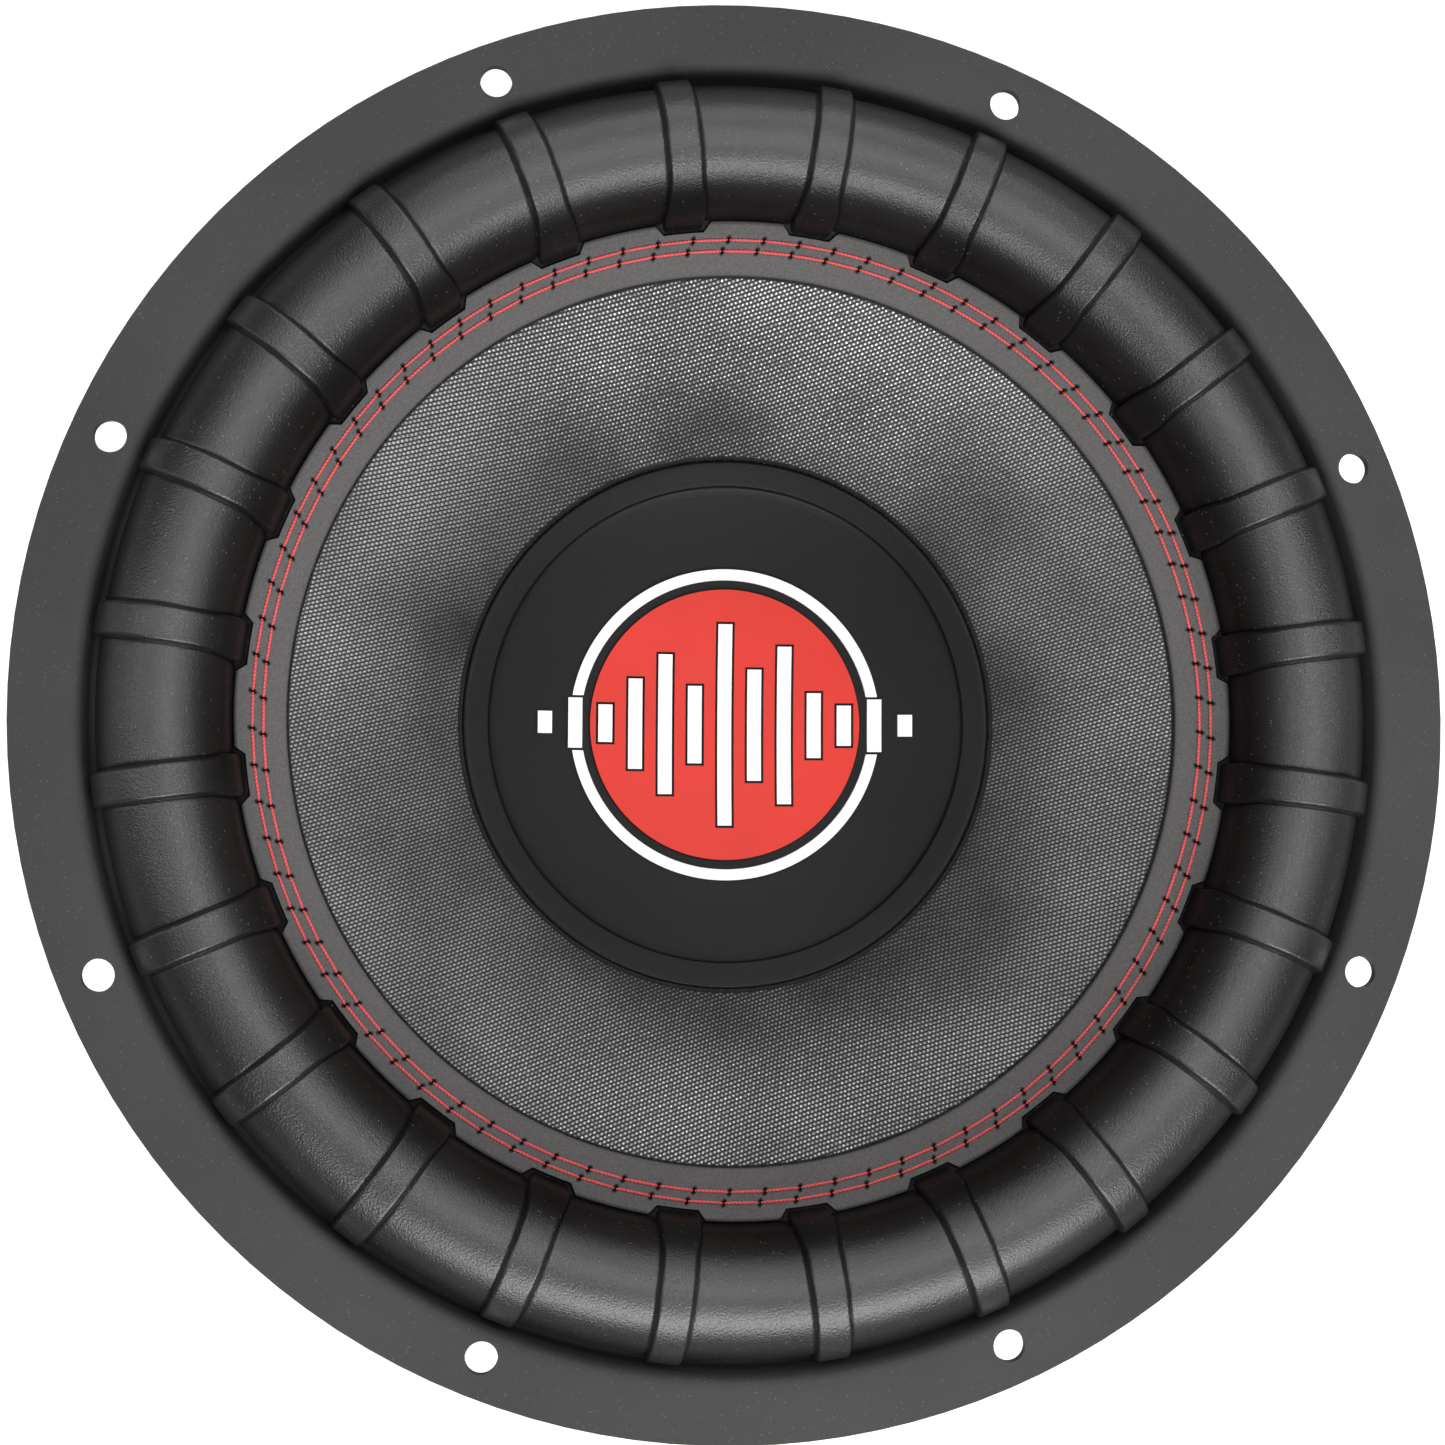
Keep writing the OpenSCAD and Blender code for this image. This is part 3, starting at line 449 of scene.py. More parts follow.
# %% Woven skin, thread, spider cloth and braid
def cloth_material(name, thread, gap, pitch, depth, roughness, **sockets):
    """Cloth on the piece's UV map: raised threads in one colour that wanders, and dark gaps."""
    made, tree, shader = material(name, thread, roughness, **sockets)
    weave = place(tree, "Weave", Vector=surface_coords(tree), Pitch=pitch, Rows=pitch)
    grain = place(tree, "Grain", Vector=object_coords(tree), Size=0.3, Blotch_Size=22.0)
    dull, bright = ([c * k for c in thread] + [1] for k in (0.6, 1.5))
    tone = blend_colour(tree, stretch(tree, grain["Blotch"], 0.3, 0.7, 0.0, 1.0), dull, [*thread, 1])
    tone = blend_colour(tree, maths(tree, "MULTIPLY", weave["Float"], 0.75), tone, bright)
    tone = blend_colour(tree, maths(tree, "MULTIPLY", weave["Gap"], 0.7), tone, [*gap, 1])
    link_in(tree, shader.inputs["Base Color"], tone)
    link_in(tree, shader.inputs["Roughness"], stretch(tree, weave["Float"], 0.0, 1.0, roughness, roughness - 0.12))
    height = maths(tree, "ADD", weave["Height"], maths(tree, "MULTIPLY", grain["Bumps"], 0.25))
    bump(tree, shader, height, depth)
    return made


SKIN_PITCH, SKIN_ROWS, SKIN_TURN = 0.5, 0.87, 18


def skin_material():
    """The cone's cloth: glossy floats about 1 mm apart in rows, on dark threads; the floats' pale colour is partly a
    painted glint.
    Resin soaks in unevenly, so the floats vary in cloudy patches, and painted shade darkens the cloth towards the
    cap.
    A ragged painted shadow line darkens the cloth at the lip's edge."""
    made, tree, shader = material("woven_skin", (0.03, 0.03, 0.03), 0.4, Specular_IOR_Level=0.4)
    weave = place(tree, "Weave", Vector=surface_coords(tree), Pitch=SKIN_PITCH, Rows=SKIN_ROWS, Wander=0.25)
    grain = place(tree, "Grain", Vector=object_coords(tree), Size=0.3, Blotch_Size=34.0)
    away = add(tree, "ShaderNodeVectorMath", operation="LENGTH")
    link_in(tree, away.inputs[0], surface_coords(tree))
    radius = away.outputs["Value"]
    # Painted shade: this ramp darkens the floats and under-threads towards the cap; the blotch noise added to it is
    # random cloudy tone.
    shade_ramp_and_cloud_tone = maths(tree, "ADD", stretch(tree, radius, CAP_R + 1, CAP_R + 30, 0.17, 0.72),
                   stretch(tree, grain["Blotch"], 0.3, 0.7, -0.26, 0.26))
    painted_shade_and_cloud_tone = stretch(tree, shade_ramp_and_cloud_tone, 0.0, 1.0, 0.0, 1.0)
    uneven = add(tree, "ShaderNodeTexNoise", Vector=surface_coords(tree), Scale=1.1, Detail=2.0, Roughness=0.7)
    lustre = maths(tree, "MULTIPLY", weave["Float"], stretch(tree, uneven.outputs[0], 0.3, 0.66, 0.25, 1.0))
    under = blend_colour(tree, painted_shade_and_cloud_tone, (0.006, 0.006, 0.006, 1), (0.05, 0.05, 0.051, 1))
    # Painted glint: the floats' pale colour stands partly for light caught by their glossy threads, which also
    # reflect the lamps as metal.
    float_colour_and_glint = blend_colour(tree, painted_shade_and_cloud_tone, (0.1, 0.1, 0.1, 1), (0.8, 0.79, 0.78, 1))
    tone = blend_colour(tree, lustre, under, float_colour_and_glint)
    tone = blend_colour(tree, maths(tree, "MULTIPLY", weave["Gap"], 0.85), tone, (0.002, 0.002, 0.002, 1))
    # Painted shadow: a ragged dark line on the cloth just inside the lip's edge.
    ragged = maths(tree, "ADD", radius, stretch(tree, grain["Bumps"], 0.2, 1.0, -0.12, 0.12))
    lip_shadow_line = stretch(tree, ragged, LIP_IN - 0.55, LIP_IN - 0.3, 0.0, 1.0)
    tone = blend_colour(tree, lip_shadow_line, tone, (0.002, 0.002, 0.002, 1))
    link_in(tree, shader.inputs["Base Color"], tone)
    link_in(tree, shader.inputs["Metallic"], maths(tree, "MULTIPLY", lustre, 0.85))
    link_in(tree, shader.inputs["Roughness"], stretch(tree, lustre, 0.0, 1.0, 0.6, 0.34))
    bump(tree, shader, weave["Height"], 0.1)
    return made


SKIN = skin_material()
SPIDER = cloth_material("spider_cloth", (0.55, 0.36, 0.09), (0.12, 0.07, 0.02), 0.9, 0.12, 0.6)
BRAID = cloth_material("tinsel_braid", (0.62, 0.42, 0.24), (0.08, 0.05, 0.03), 0.7, 0.15, 0.35)


WIRE_PITCH, MESH_PITCH = 0.5, 1.4


def ripple(tree, value, pitch):
    """The absolute sine of a length: one round hump for every pitch of it."""
    return maths(tree, "ABSOLUTE", maths(tree, "SINE", maths(tree, "MULTIPLY", value, math.pi / pitch)))


def mesh_material():
    """Woven wire seen from above: wires every 1.4 mm both ways on plain object coordinates, dark between."""
    made, tree, shader = material("vent_wire", (0.3, 0.3, 0.32), 0.35, 1.0)
    in_mm = add(tree, "ShaderNodeVectorMath", operation="SCALE")
    link_in(tree, in_mm.inputs[0], object_coords(tree))
    in_mm.inputs["Scale"].default_value = 1 / MM
    parts = add(tree, "ShaderNodeSeparateXYZ", Vector=in_mm.outputs[0])
    wires = [stretch(tree, ripple(tree, parts.outputs[k], MESH_PITCH), 0.7, 0.85, 0.0, 1.0) for k in (0, 1)]
    wire = maths(tree, "MAXIMUM", *wires)
    tone = blend_colour(tree, wire, (0.004, 0.004, 0.004, 1), (0.3, 0.3, 0.32, 1))
    link_in(tree, shader.inputs["Base Color"], tone)
    link_in(tree, shader.inputs["Metallic"], wire)
    bump(tree, shader, wire, 0.4)
    return made


WIRE_MESH = mesh_material()


def thread_material():
    """Twisted thread: slanting strands from the sine of the UV map's two directions added together."""
    made, tree, shader = material("red_thread", (0.75, 0.07, 0.07), 0.5, Sheen_Weight=0.2)
    parts = add(tree, "ShaderNodeSeparateXYZ", Vector=surface_coords(tree))
    slant = maths(tree, "MULTIPLY", maths(tree, "ADD", parts.outputs[0], parts.outputs[1]), TURN / 0.9)
    strand = stretch(tree, maths(tree, "SINE", slant), -1.0, 1.0, 0.0, 1.0)
    tone = blend_colour(tree, strand, (0.62, 0.055, 0.06, 1), (0.8, 0.1, 0.105, 1))
    link_in(tree, shader.inputs["Base Color"], tone)
    bump(tree, shader, strand, 0.1)
    return made


THREAD = thread_material()


def winding_material():
    """Enamelled copper: one round wire every 0.5 mm up the coil, from the sine of the height."""
    made, tree, shader = material("copper_wire", (0.72, 0.33, 0.13), 0.25, 1.0)
    parts = add(tree, "ShaderNodeSeparateXYZ", Vector=object_coords(tree))
    wire = ripple(tree, parts.outputs[2], WIRE_PITCH * MM)
    link_in(tree, shader.inputs["Base Color"], blend_colour(tree, wire, (0.2, 0.06, 0.02, 1), (0.78, 0.38, 0.16, 1)))
    bump(tree, shader, wire, 0.2)
    return made


COPPER = winding_material()

# %% [markdown]
# ## Surround
# The surround is a tall half roll of foam with 24 straps across it. Its outer foot is glued into the
# basket's recess, and its inner lip lies on the cone's edge, where it is sewn. It could be a plain roll with
# a bump map, but the straps show in outline, so they are real: the surface is one grid whose columns crowd
# together at each strap's two edges, and whose rows follow the section from the lip over the roll to the foot.


# %% Columns: where they stand across a strap and between straps
def strap_columns():
    """Offsets from a strap's middle in mm, dense where its edges are, and shares of the space between two."""
    half = RIB_W / 2
    edge = half + np.array([-1.2, -0.9, -0.65, -0.45, -0.28, -0.12, 0.0, 0.08, 0.2, 0.4, 0.7, 1.1, 1.6])
    flat = np.array([0.9, 1.8])
    side = np.concatenate([flat, edge])
    across = np.concatenate([-side[::-1], [0], side])
    between = np.linspace(0, 1, 13)[1:-1]
    return across, between


# %% Rows: the section from the lip's inner edge to the foot, and back underneath
LIP_ROWS = 16
LIP_CLEAR, NOTCH_DEPTH, SHOULDER, HIDDEN_ARC = 0.35, 2.1, 0.9, 11


def section(strap, notch):
    """One section of the surround. strap is 0 between straps and 1 on a strap: there the roll stands
    RIB_RISE proud along its own normal. notch is 1 where the lip's edge is cut back for the strap's foot."""
    lip_out = ROLL_IN - LIP_CLEAR - notch * NOTCH_DEPTH
    r = np.linspace(LIP_IN + 0.25, lip_out - 0.3, 12)
    rows = [[LIP_IN + out, lip_z(LIP_IN) - down] for out, down in ((0, 0.9), (0.02, 0.35), (0.1, 0.08))]
    rows += list(np.stack([r, lip_z(r)], axis=1))
    rows += [[lip_out + out, lip_z(lip_out) - down] for out, down in ((-0.12, 0.06), (0, 0.3), (0.04, 1.05))]
    proud = strap * RIB_RISE
    inner_r = ROLL_IN - proud
    valley = lip_z(lip_out) - 1.08
    rows += [[lip_out + (inner_r - 0.15 - lip_out) * k, valley] for k in (0.35, 0.75)]
    rise = np.linspace(valley + 0.12, ROLL_Z, 8)[:-1]
    rows += [[inner_r - 0.1 * (k == 0), z] for k, z in enumerate(rise)]
    rows += list(arc((ROLL_MID, ROLL_Z), ROLL_R + proud, 180, 0, 44))
    side_r = ROLL_OUT + min(proud, 1.3)
    fall = np.linspace(ROLL_Z, FOOT_Z + 1.7, 6)[1:]
    rows += [[side_r, z] for z in fall]
    return np.array(rows)


def underside():
    """The back of the surround, the same for every column: foot, inside of the roll, and back of the lip."""
    inner = ROLL_R - FOAM_T
    rows = [[ROLL_OUT + 0.7, FOOT_Z + 1.5], [ROLL_OUT + 0.7, FOOT_Z + 0.02], [ROLL_OUT - 6, FOOT_Z + 0.02],
            [ROLL_OUT - 6, FOOT_Z + 1.5], [ROLL_OUT - FOAM_T, FOOT_Z + 1.8]]
    rows += list(arc((ROLL_MID, ROLL_Z), inner, 0, 180, HIDDEN_ARC))
    rows += [[ROLL_IN + FOAM_T, lip_z(ROLL_IN) - 0.5], [ROLL_IN + FOAM_T, cone_z(ROLL_IN + FOAM_T) + 0.3]]
    r = np.linspace(ROLL_IN, LIP_IN + 0.1, 4)
    return np.array(rows + list(np.stack([r, cone_z(r) + SOFT_GAP], axis=1)))


def build_surround():
    """For a strap column at offset y, a point at radius r lies at angle asin(y / r), so straps keep their
    width. With t the share of the way in over a shoulder 0.9 mm wide, a strap's height is that of a quarter
    circle, sqrt(1 - (1 - t)^2), less a small crease just outside its edge. The notch in the lip is a
    trapezium, and the inner end flares: y grows by up to a fifth towards the foot."""
    across, between = strap_columns()
    inside = RIB_W / 2 - np.abs(across)
    lift = np.sqrt(1 - (1 - np.clip(inside / SHOULDER, 0, 1)) ** 2) - 0.16 * np.exp(-(((inside + 0.22) / 0.2) ** 2))
    notch = np.clip((inside + 1.5) / 1.6, 0, 1)
    flat, proud, cut, back = section(0.0, 0.0), section(1.0, 0.0), section(0.0, 1.0), underside()
    front = flat[None] + (proud - flat)[None] * lift[:, None, None] + (cut - flat)[None] * notch[:, None, None]
    outline = np.concatenate([front, np.broadcast_to(back, (len(across), *back.shape))], axis=1)
    r = outline[:, :, 0]
    flare = 1 + 0.22 * smoothstep((ROLL_IN + 3.5 - r) / 5.0) * smoothstep((r - ROLL_IN + 6) / 3.0)
    angle = np.arcsin(across[:, None] * flare / r)
    pitch = TURN / RIB_COUNT
    gap_start, gap_end = angle[-1], pitch + angle[0]
    gap_angle = gap_start[None] + (gap_end - gap_start)[None] * between[:, None]
    gap_outline = np.broadcast_to(outline[-1], (len(between), *outline.shape[1:]))
    angle = np.concatenate([angle, gap_angle])
    outline = np.concatenate([outline, gap_outline])
    turns = (np.arange(RIB_COUNT) + 0.5) * pitch
    a = (turns[:, None, None] + angle[None]).reshape(-1, angle.shape[1]).T
    r = np.tile(outline[:, :, 0], (RIB_COUNT, 1)).T
    z = np.tile(outline[:, :, 1], (RIB_COUNT, 1)).T
    points = np.stack([r * np.cos(a), r * np.sin(a), z], axis=2)

    def wide(x, last):
        return np.concatenate([x, last[:, None]], axis=1)

    on_lip = (np.arange(len(r)) < LIP_ROWS)[:, None]
    marked = np.where(on_lip, r, r + 10)
    u, v = wide(a, a[:, 0] + TURN) / TURN * STITCHES, wide(marked, marked[:, 0])
    uv = np.stack([np.vstack([u, u[:1]]), np.vstack([v, v[:1]])], axis=2)
    return outward(grid("surround_foam", points, uv=uv, sharp=60))


def blend_round(obj):
    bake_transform(obj)
    flat = np.empty(3 * len(obj.data.vertices), np.float32)
    obj.data.vertices.foreach_get("co", flat)
    return obj


surround = blend_round(build_surround())
finish_piece(surround, None, "surround_foam", FOAM, "surround")

# %% [markdown]
# ## Woven cone
# The cone is paper with a cloth skin pressed over it. The skin is revolved with a planar UV map, as the
# cloth is one flat sheet whose threads keep their direction across the cone.


# %% Cone skin and paper
def planar_uv(obj, angle):
    """UV in mm from the plan view, turned by angle degrees, so cloth keeps one direction."""
    mesh = obj.data
    flat = np.empty(3 * len(mesh.vertices), np.float32)
    mesh.vertices.foreach_get("co", flat)
    index = np.empty(len(mesh.loops), np.int32)
    mesh.loops.foreach_get("vertex_index", index)
    x, y = flat.reshape(-1, 3)[index, :2].T / MM
    c, s = math.cos(math.radians(angle)), math.sin(math.radians(angle))
    uv = np.stack([c * x - s * y, s * x + c * y], axis=1).astype(np.float32)
    layer = mesh.uv_layers.get("Surface") or mesh.uv_layers.new(name="Surface")
    layer.data.foreach_set("uv", uv.ravel())
    return obj


def build_skin():
    r = np.linspace(NECK_R + 1.4, EDGE_R, 60)
    front = np.stack([r, cone_z(r)], axis=1)
    back = front[::-1] - [0, SKIN_T * 1.2]
    return planar_uv(revolve("cone_skin", np.vstack([front, back]), 240), -SKIN_TURN)


def build_paper():
    r = np.linspace(NECK_R, EDGE_R, 30)
    drop = SKIN_T * 1.2 + 0.06
    front = np.stack([r, cone_z(r) - drop], axis=1)
    back = np.stack([r[::-1] + 0.7, cone_z(r[::-1]) - drop - 1.5], axis=1)
    collar = [[NECK_R + 1.4, NECK_Z - 3], [NECK_R + 1.4, NECK_Z - 6], [NECK_R, NECK_Z - 6]]
    return revolve("cone_paper", np.vstack([front, back[:-1], collar]), 180)


finish_piece(build_skin(), "cone", "woven_skin", SKIN, "cone_skin")
finish_piece(build_paper(), "cone", "cone_paper", PAPER, "cone_paper")

# %% [markdown]
# ## Stitching
# Two rows of lockstitch hold the lip to the cone. Each stitch is a short length of thread that lies on the
# foam and dives into the needle holes at its ends, so each is a small tube that is high in its middle.


# %% Stitch rows
def build_stitches(name, row, shift):
    """Stitch k runs from angle k to k + 1 along the row. With s from 0 to 1 along it, the thread's middle
    stands lift = 0.5 * (1 - |2s - 1|^6) - 0.26 mm above the lip, and its section is a circle."""
    sides, rings = 8, 11
    s = np.linspace(0.03, 0.97, rings)
    lift = 0.5 * (1 - np.abs(2 * s - 1) ** 6) - 0.26
    thick = 0.34 - 0.1 * np.abs(2 * s - 1) ** 4
    k = np.arange(STITCHES)
    a = (k[:, None] + s[None] + shift) * TURN / STITCHES
    t = np.arange(sides) * TURN / sides
    slope = math.atan2(float(lip_z(row) - lip_z(row - 1)), 1)
    out = thick[:, None] * np.cos(t)[None]
    up = lift[:, None] + thick[:, None] * np.sin(t)[None]
    r = row + out * math.cos(slope) - up * math.sin(slope)
    z = lip_z(row) + out * math.sin(slope) + up * math.cos(slope)
    r = np.broadcast_to(r, (STITCHES, rings, sides))
    z = np.broadcast_to(z, (STITCHES, rings, sides))
    points = np.stack([r * np.cos(a)[..., None], r * np.sin(a)[..., None], z], axis=3)
    i, j = np.meshgrid(np.arange(rings - 1), np.arange(sides), indexing="ij")
    i, j = i.ravel(), j.ravel()
    here, beside = i * sides + j, i * sides + (j + 1) % sides
    quad = np.stack([here, beside, beside + sides, here + sides], axis=1)
    faces = (quad[None] + (k * rings * sides)[:, None, None]).reshape(-1, 4).tolist()
    first = [(n * rings + ring) * sides for n in k for ring in (0, rings - 1)]
    ends = [list(range(f, f + sides)) for f in first]
    obj = new_object(name, points, faces + ends, 80)
    uv = np.zeros((len(obj.data.loops), 2), np.float32)
    length = TURN * row / STITCHES
    corner_s = np.stack([s[i], s[i], s[i + 1], s[i + 1]], axis=1) * length
    corner_t = np.stack([j, j + 1, j + 1, j], axis=1) / sides * 0.9
    uv[: len(faces) * 4] = np.tile(np.stack([corner_s, corner_t], axis=2).reshape(-1, 2), (STITCHES, 1))
    obj.data.uv_layers.new(name="Surface").data.foreach_set("uv", uv.ravel())
    return outward(obj)


finish_piece(build_stitches("stitches_outer", ROW_OUT, 0.5), "cone", "thread", THREAD, "stitch_outer")
finish_piece(build_stitches("stitches_inner", ROW_IN, 0.67), "cone", "thread", THREAD, "stitch_inner")

# %% [markdown]
# ## Dust cap and badge
# The cap is an inverted dome: a bevelled ring that sits on the cone, a small step, and a dish. The badge
# lies in the dish, and the CAD pieces for it have the right shape, so they stay and get a finish.

# %% Dust cap
CAP_Z = float(cone_z(CAP_R))
DISH_R = CAP_R - 6.1
CAP_SAG = 9.2
DISH_MID = CAP_Z + 0.9 - 1.5 - 0.9 - CAP_SAG
BALL = (DISH_R ** 2 + CAP_SAG ** 2) / (2 * CAP_SAG)


def dish_z(r):
    """Height of the dish: a ball of radius BALL that rests at DISH_MID."""
    return DISH_MID + BALL - np.sqrt(BALL ** 2 - np.asarray(r, float) ** 2)


def build_cap():
    r = np.linspace(0.0, DISH_R - 0.5, 40)
    dish = np.stack([r, dish_z(r)], axis=1)
    ring_z = CAP_Z + 0.9 - 1.5
    rise = [[DISH_R - 0.1, dish_z(DISH_R) + 0.05], [DISH_R + 0.15, dish_z(DISH_R) + 0.35],
            [DISH_R + 0.35, ring_z - 0.12], [DISH_R + 0.75, ring_z + 0.03]]
    ring = np.stack([np.linspace(DISH_R + 1.2, CAP_R - 1.0, 6), np.linspace(ring_z + 0.17, CAP_Z + 0.82, 6)], axis=1)
    rim = [[CAP_R - 0.6, CAP_Z + 0.9], [CAP_R - 0.25, CAP_Z + 0.83], [CAP_R + 0.1, CAP_Z + 0.6],
           [CAP_R + 0.35, CAP_Z + 0.3], [CAP_R - 1.3, CAP_Z - 0.7], [DISH_R + 1.6, ring_z - 1.2]]
    back = dish[::-4] * [1.0, 1.0] - [0, 1.2]
    return revolve("dust_cap", np.vstack([dish, rise, ring, rim, back]), 180)


finish_piece(build_cap(), "cone", "dust_cap", CAP, "dust_cap")


def build_bead():
    """The glue round the cap: a thin fillet, a quarter circle that is hollow towards the cap and the cone."""
    t = np.linspace(0, 1, 9)
    r = CAP_R + 0.42 + 0.85 * t
    z = cone_z(r) + 0.42 * (1 - t) ** 2 + 0.02
    front = np.stack([r, z], axis=1)
    back = [[CAP_R + out, cone_z(CAP_R + out) - 0.2] for out in (1.25, 0.42)]
    return revolve("cap_bead", np.vstack([front, back]), 240)


finish_piece(build_bead(), "cone", "black_glue", GLUE, "cap_bead")


# %% [markdown]
# ## CAD parts that stay
# A part whose CAD shape is right keeps it. Its edges were left sharp, so a copy is merged, its edges get a
# small bevel, and the copy stands for the node.


# %% Bevelled copies
def bevelled(node, width, body, slot, mat, angle=32, segments=2):
    """A copy of a CAD node's mesh with doubles merged and flat faces joined, and its edges bevelled."""
    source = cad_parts[node]
    mesh = source.data.copy()
    shell = bmesh.new()
    shell.from_mesh(mesh)
    bmesh.ops.remove_doubles(shell, verts=shell.verts, dist=0.01 * MM)
    bmesh.ops.dissolve_limit(shell, angle_limit=math.radians(0.5), verts=shell.verts, edges=shell.edges)
    shell.to_mesh(mesh)
    shell.free()
    mesh.shade_smooth()
    mesh.set_sharp_from_angle(angle=math.radians(angle))
    obj = bpy.data.objects.new(f"{node}_part", mesh)
    bpy.context.collection.objects.link(obj)
    edge = obj.modifiers.new("edge", "BEVEL")
    edge.width, edge.segments, edge.limit_method = width * MM, segments, "ANGLE"
    edge.angle_limit = math.radians(angle)
    edge.harden_normals = True
    return finish_piece(obj, body, slot, mat, node)


bevelled("basket", 0.5, "frame", "basket_paint", POWDER)
for node, slot, mat in (("badge_ring", "badge_white", WHITE), ("badge_disc", "badge_red", RED),
                        ("badge_bars", "badge_white", WHITE)):
    bevelled(node, 0.12, "cone", slot, mat)

# %% [markdown]
# ## Spiders
# Two discs of resin-dipped cloth centre the coil. Each is corrugated so that it can stretch as the cone
# moves: a flat rim, then a sine wave whose height fades in and out at its two ends, then a flat collar.


# %% Spiders
WAVE_IN, WAVE_OUT, WAVES, WAVE_H, CLOTH_T = NECK_R + 4.8, 79.5, 4.5, 2.0, 0.6


def build_spider(node):
    """Top face height = base + WAVE_H sin(2 pi WAVES t), with t from 0 to 1 between the wave's two ends."""
    base = top(node) - WAVE_H
    waves = np.linspace(WAVE_IN, WAVE_OUT, 91)
    r = np.concatenate([[NECK_R + 0.1, NECK_R + 2.5], waves, [reach(node) - 4, reach(node)]])
    t = np.clip((r - WAVE_IN) / (WAVE_OUT - WAVE_IN), 0, 1)
    z = base + WAVE_H * np.sin(TURN * WAVES * t)
    front = np.stack([r, z], axis=1)
    return planar_uv(revolve(node + "_cloth", np.vstack([front, front[::-1] - [0, CLOTH_T]]), 144), 45)


for node in ("spider_upper", "spider_lower"):
    finish_piece(blend_round(build_spider(node)), None, "spider_cloth", SPIDER, node)

# %% [markdown]
# ## Tinsel leads
# Four braided leads carry the current from the former to the terminals. Each is a tube along a smooth
# curve, and the braid comes from its surface: two sets of strands wind round it in opposite directions.


# %% Lead routes
LEAD_SHAPE = np.array([
    [0, 0, 0], [0.025, 0.05, 0.003], [0.07, 0.14, 0.008], [0.16, 0.32, 0.027], [0.265, 0.5, 0.067],
    [0.37, 0.64, 0.127], [0.475, 0.75, 0.207], [0.58, 0.84, 0.307], [0.67, 0.91, 0.4],
    [0.76, 0.96, 0.5], [0.842, 1, 0.607], [0.91, 1, 0.727], [0.961, 1, 0.867], [1, 1, 1]])
LEAD_START, LEAD_END, LEAD_R = np.array([39.3, 5.6, 93.4]), np.array([106.0, 10.0, 123.4]), 1.2


def smooth_path(points, count):
    """Catmull-Rom curve through the points: each stretch is the cubic that leaves a point along the line
    between its two neighbours."""
    padded = np.vstack([2 * points[0] - points[1], points, 2 * points[-1] - points[-2]])
    t = np.linspace(0, len(points) - 1, count)
    k = np.minimum(t.astype(int), len(points) - 2)
    f = (t - k)[:, None]
    p0, p1, p2, p3 = padded[k], padded[k + 1], padded[k + 2], padded[k + 3]
    square, cube = 2 * p0 - 5 * p1 + 4 * p2 - p3, 3 * p1 - p0 - 3 * p2 + p3
    return 0.5 * (2 * p1 + (p2 - p0) * f + square * f**2 + cube * f**3)


def build_lead(node, side, pole):
    """A tube: each ring lies across the path, and its radius swells and shrinks a little with the braid,
    r = LEAD_R (1 - 0.06 (1 + sin(4t + 5s) sin(4t - 5s))) at angle t and distance s along."""
    path = LEAD_START + (LEAD_END - LEAD_START) * LEAD_SHAPE
    path = smooth_path(path * [1, pole, 1], 110) * [side, side, 1]
    along = np.gradient(path, axis=0)
    along /= np.linalg.norm(along, axis=1)[:, None]
    sideways = np.cross(along, [0, 0, 1.0])
    sideways /= np.linalg.norm(sideways, axis=1)[:, None]
    up = np.cross(sideways, along)
    s = np.concatenate([[0], np.cumsum(np.linalg.norm(np.diff(path, axis=0), axis=1))])
    t = np.arange(16) * TURN / 16
    swell = 1 + np.sin(4 * t[None] + 5 * s[:, None]) * np.sin(4 * t[None] - 5 * s[:, None])
    radius = LEAD_R * (1 - 0.06 * swell)
    ring = np.cos(t)[None, :, None] * sideways[:, None] + np.sin(t)[None, :, None] * up[:, None]
    points = path[:, None] + radius[..., None] * ring
    shut = lambda end: np.broadcast_to(path[end], (1, 16, 3))
    points = np.concatenate([shut(0), points, shut(-1)])
    ends = np.concatenate([[0], s, s[-1:]])
    uv = np.stack(np.broadcast_arrays(ends[:, None], np.arange(17)[None] / 16 * TURN * LEAD_R), axis=2)
    obj = grid(node + "_braid", points, closed=False, uv=uv, sharp=80)
    shell = bmesh.new()
    shell.from_mesh(obj.data)
    bmesh.ops.remove_doubles(shell, verts=shell.verts, dist=0.001 * MM)
    shell.to_mesh(obj.data)
    shell.free()
    return outward(obj), s[-1]


for side, number in ((1, 1), (-1, 2)):
    for pole, colour in ((1, "red"), (-1, "black")):
        lead, length = build_lead(f"lead_{number}_{colour}", side, pole)
        blend_round(lead)
        finish_piece(lead, None, "tinsel_braid", BRAID, f"lead_{number}_{colour}")
print(f"lead length {length:.0f} mm")

# %% CAD nodes with new finishes
FINISHES = {
    "front_plate": STEEL, "magnet_front": FERRITE, "magnet_rear": FERRITE, "yoke": STEEL, "shorting_ring": AL_RING,
    "magnet_boot": BOOT, "vent_mesh": WIRE_MESH, "spider_spacer": BOARD, "former": FORMER,
    "winding_inner": COPPER, "winding_outer": COPPER, "glue_upper": AMBER, "glue_lower": AMBER,
    "terminal_1": PLASTIC, "terminal_2": PLASTIC,
}
for name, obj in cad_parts.items():
    mat = FINISHES.get(name)
    if name.startswith("button"):
        mat = RED_KEY if name.endswith("red") else BLACK_KEY
    elif name.startswith("plate_screw"):
        mat = SCREW
    elif name.startswith("rivet"):
        mat = RIVET
    elif name.startswith(("contact", "lead_tag")):
        mat = BRASS
    if mat and not obj.hide_render:
        obj.data.materials.clear()
        obj.data.materials.append(mat)

# %% [markdown]
# ## Studio
# A pale floor that glows a little, so that it stays white. One soft light stands near the axis, four narrow
# ones stand high round it and draw the bright bands on the roll, and four wide ones stand lower round the rim.


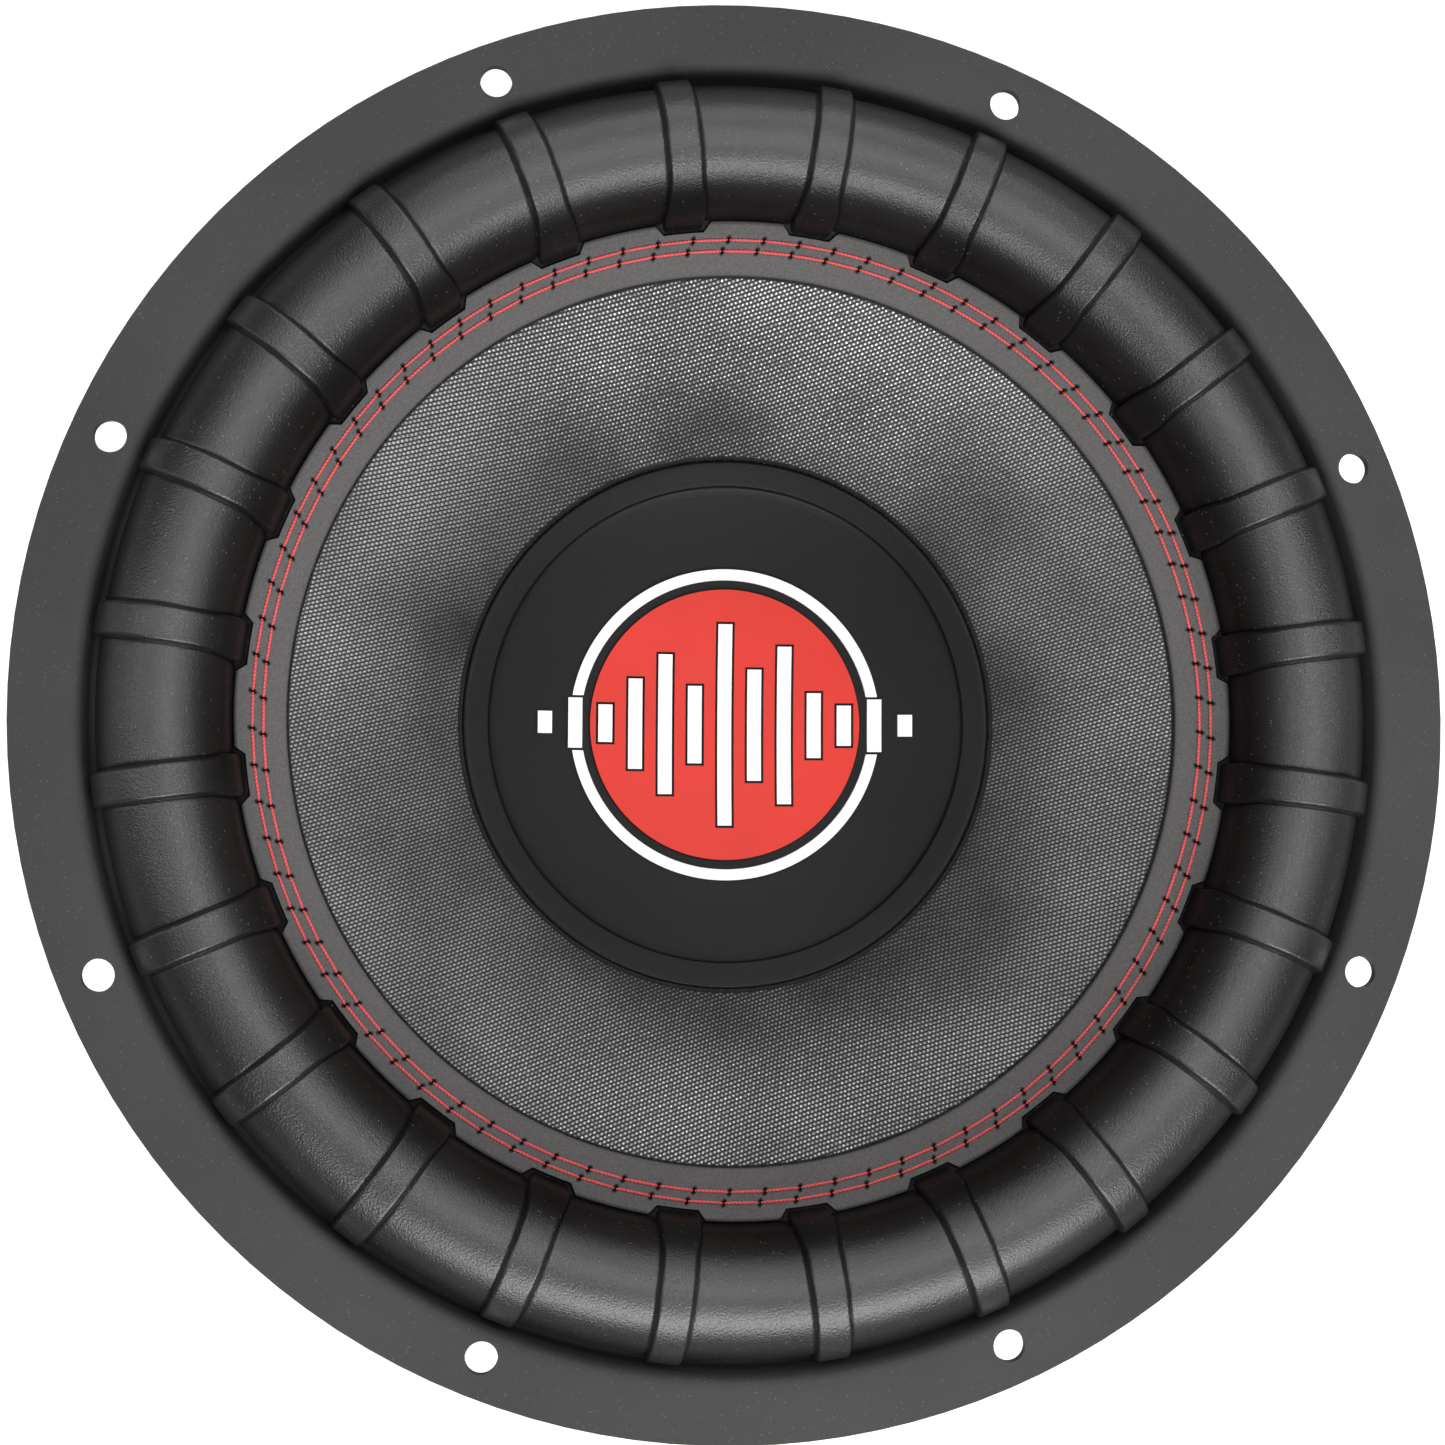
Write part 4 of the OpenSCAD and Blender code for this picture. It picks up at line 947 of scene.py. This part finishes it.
# %% Floor, world and lights
def area_light(name, place_mm, target_mm, size_mm, watts):
    """A rectangular soft light that points at a target."""
    lamp = bpy.data.lights.new(name, "AREA")
    lamp.shape, lamp.energy = "RECTANGLE", watts
    lamp.size, lamp.size_y = size_mm[0] * MM, size_mm[1] * MM
    obj = bpy.data.objects.new(name, lamp)
    bpy.context.collection.objects.link(obj)
    obj.location = Vector(place_mm) * MM
    obj.rotation_euler = (Vector(target_mm) - Vector(place_mm)).to_track_quat("-Z", "Y").to_euler()
    return obj


AIM_DEPTH, FLOOR_GLOW, SKY = 20, 0.35, 0.07
LIGHTS = (  # name, place with its height over the flange, and size, in mm, and power in watts
    ("axis", (110, 72, 880), (500, 60), 1.3),
    ("above_mid", (110, 420, 850), (900, 60), 1.9),
    ("below_mid", (110, -520, 780), (900, 60), 2.3),
    ("left_mid", (-390, 60, 850), (60, 800), 1.4),
    ("right_mid", (530, 60, 760), (70, 800), 1.2),
    ("below", (90, -700, 580), (1000, 220), 7.5),
    ("above", (90, 800, 520), (1000, 220), 2.8),
    ("left", (-800, 60, 500), (120, 900), 0.9),
    ("right", (850, 60, 460), (120, 800), 0.35),
)


def build_studio():
    """The floor at height 0, a weak even world light, and the lights of the table, all aimed into the cone."""
    bpy.ops.mesh.primitive_plane_add(size=12, location=(0, 0, 0))
    floor = bpy.context.object
    floor.name = "floor"
    floor.data.materials.append(material("floor", (0.93, 0.93, 0.93), 0.9, Emission_Strength=FLOOR_GLOW)[0])
    world = bpy.data.worlds.new("studio")
    bpy.context.scene.world = world
    world.use_nodes = True
    world.node_tree.nodes["Background"].inputs[0].default_value = (1, 1, 1, 1)
    world.node_tree.nodes["Background"].inputs[1].default_value = SKY
    bpy.context.scene.view_settings.view_transform = "Standard"
    for name, (x, y, up), size, watts in LIGHTS:
        area_light(name, (x, y, FRONT + up), (0, 0, FRONT - AIM_DEPTH), size, watts)


build_studio()


# %% Camera
FOCAL, CAMERA_AT = 48.77, (-52.0, -26.7, FRONT + 424.9)
TURNS = (3.592, -5.916, 3.895, -3.25)


def build_camera():
    """Close to the speaker's axis, a little left of it and below it, turned by small angles."""
    data = bpy.data.cameras.new("camera")
    data.lens, data.sensor_width = FOCAL, 36
    cam = bpy.data.objects.new("camera", data)
    bpy.context.collection.objects.link(cam)
    tilt_x, tilt_y, roll, turn = (math.radians(v) for v in TURNS)
    turned = Matrix.Rotation(turn, 4, "Z") @ Matrix.Rotation(tilt_x, 4, "X") @ Matrix.Rotation(tilt_y, 4, "Y")
    place_at = Matrix.Translation(Vector(CAMERA_AT) * MM)
    cam.matrix_world = place_at @ turned @ Matrix.Rotation(roll, 4, "Z")
    bpy.context.scene.camera = cam
    return cam


build_camera()
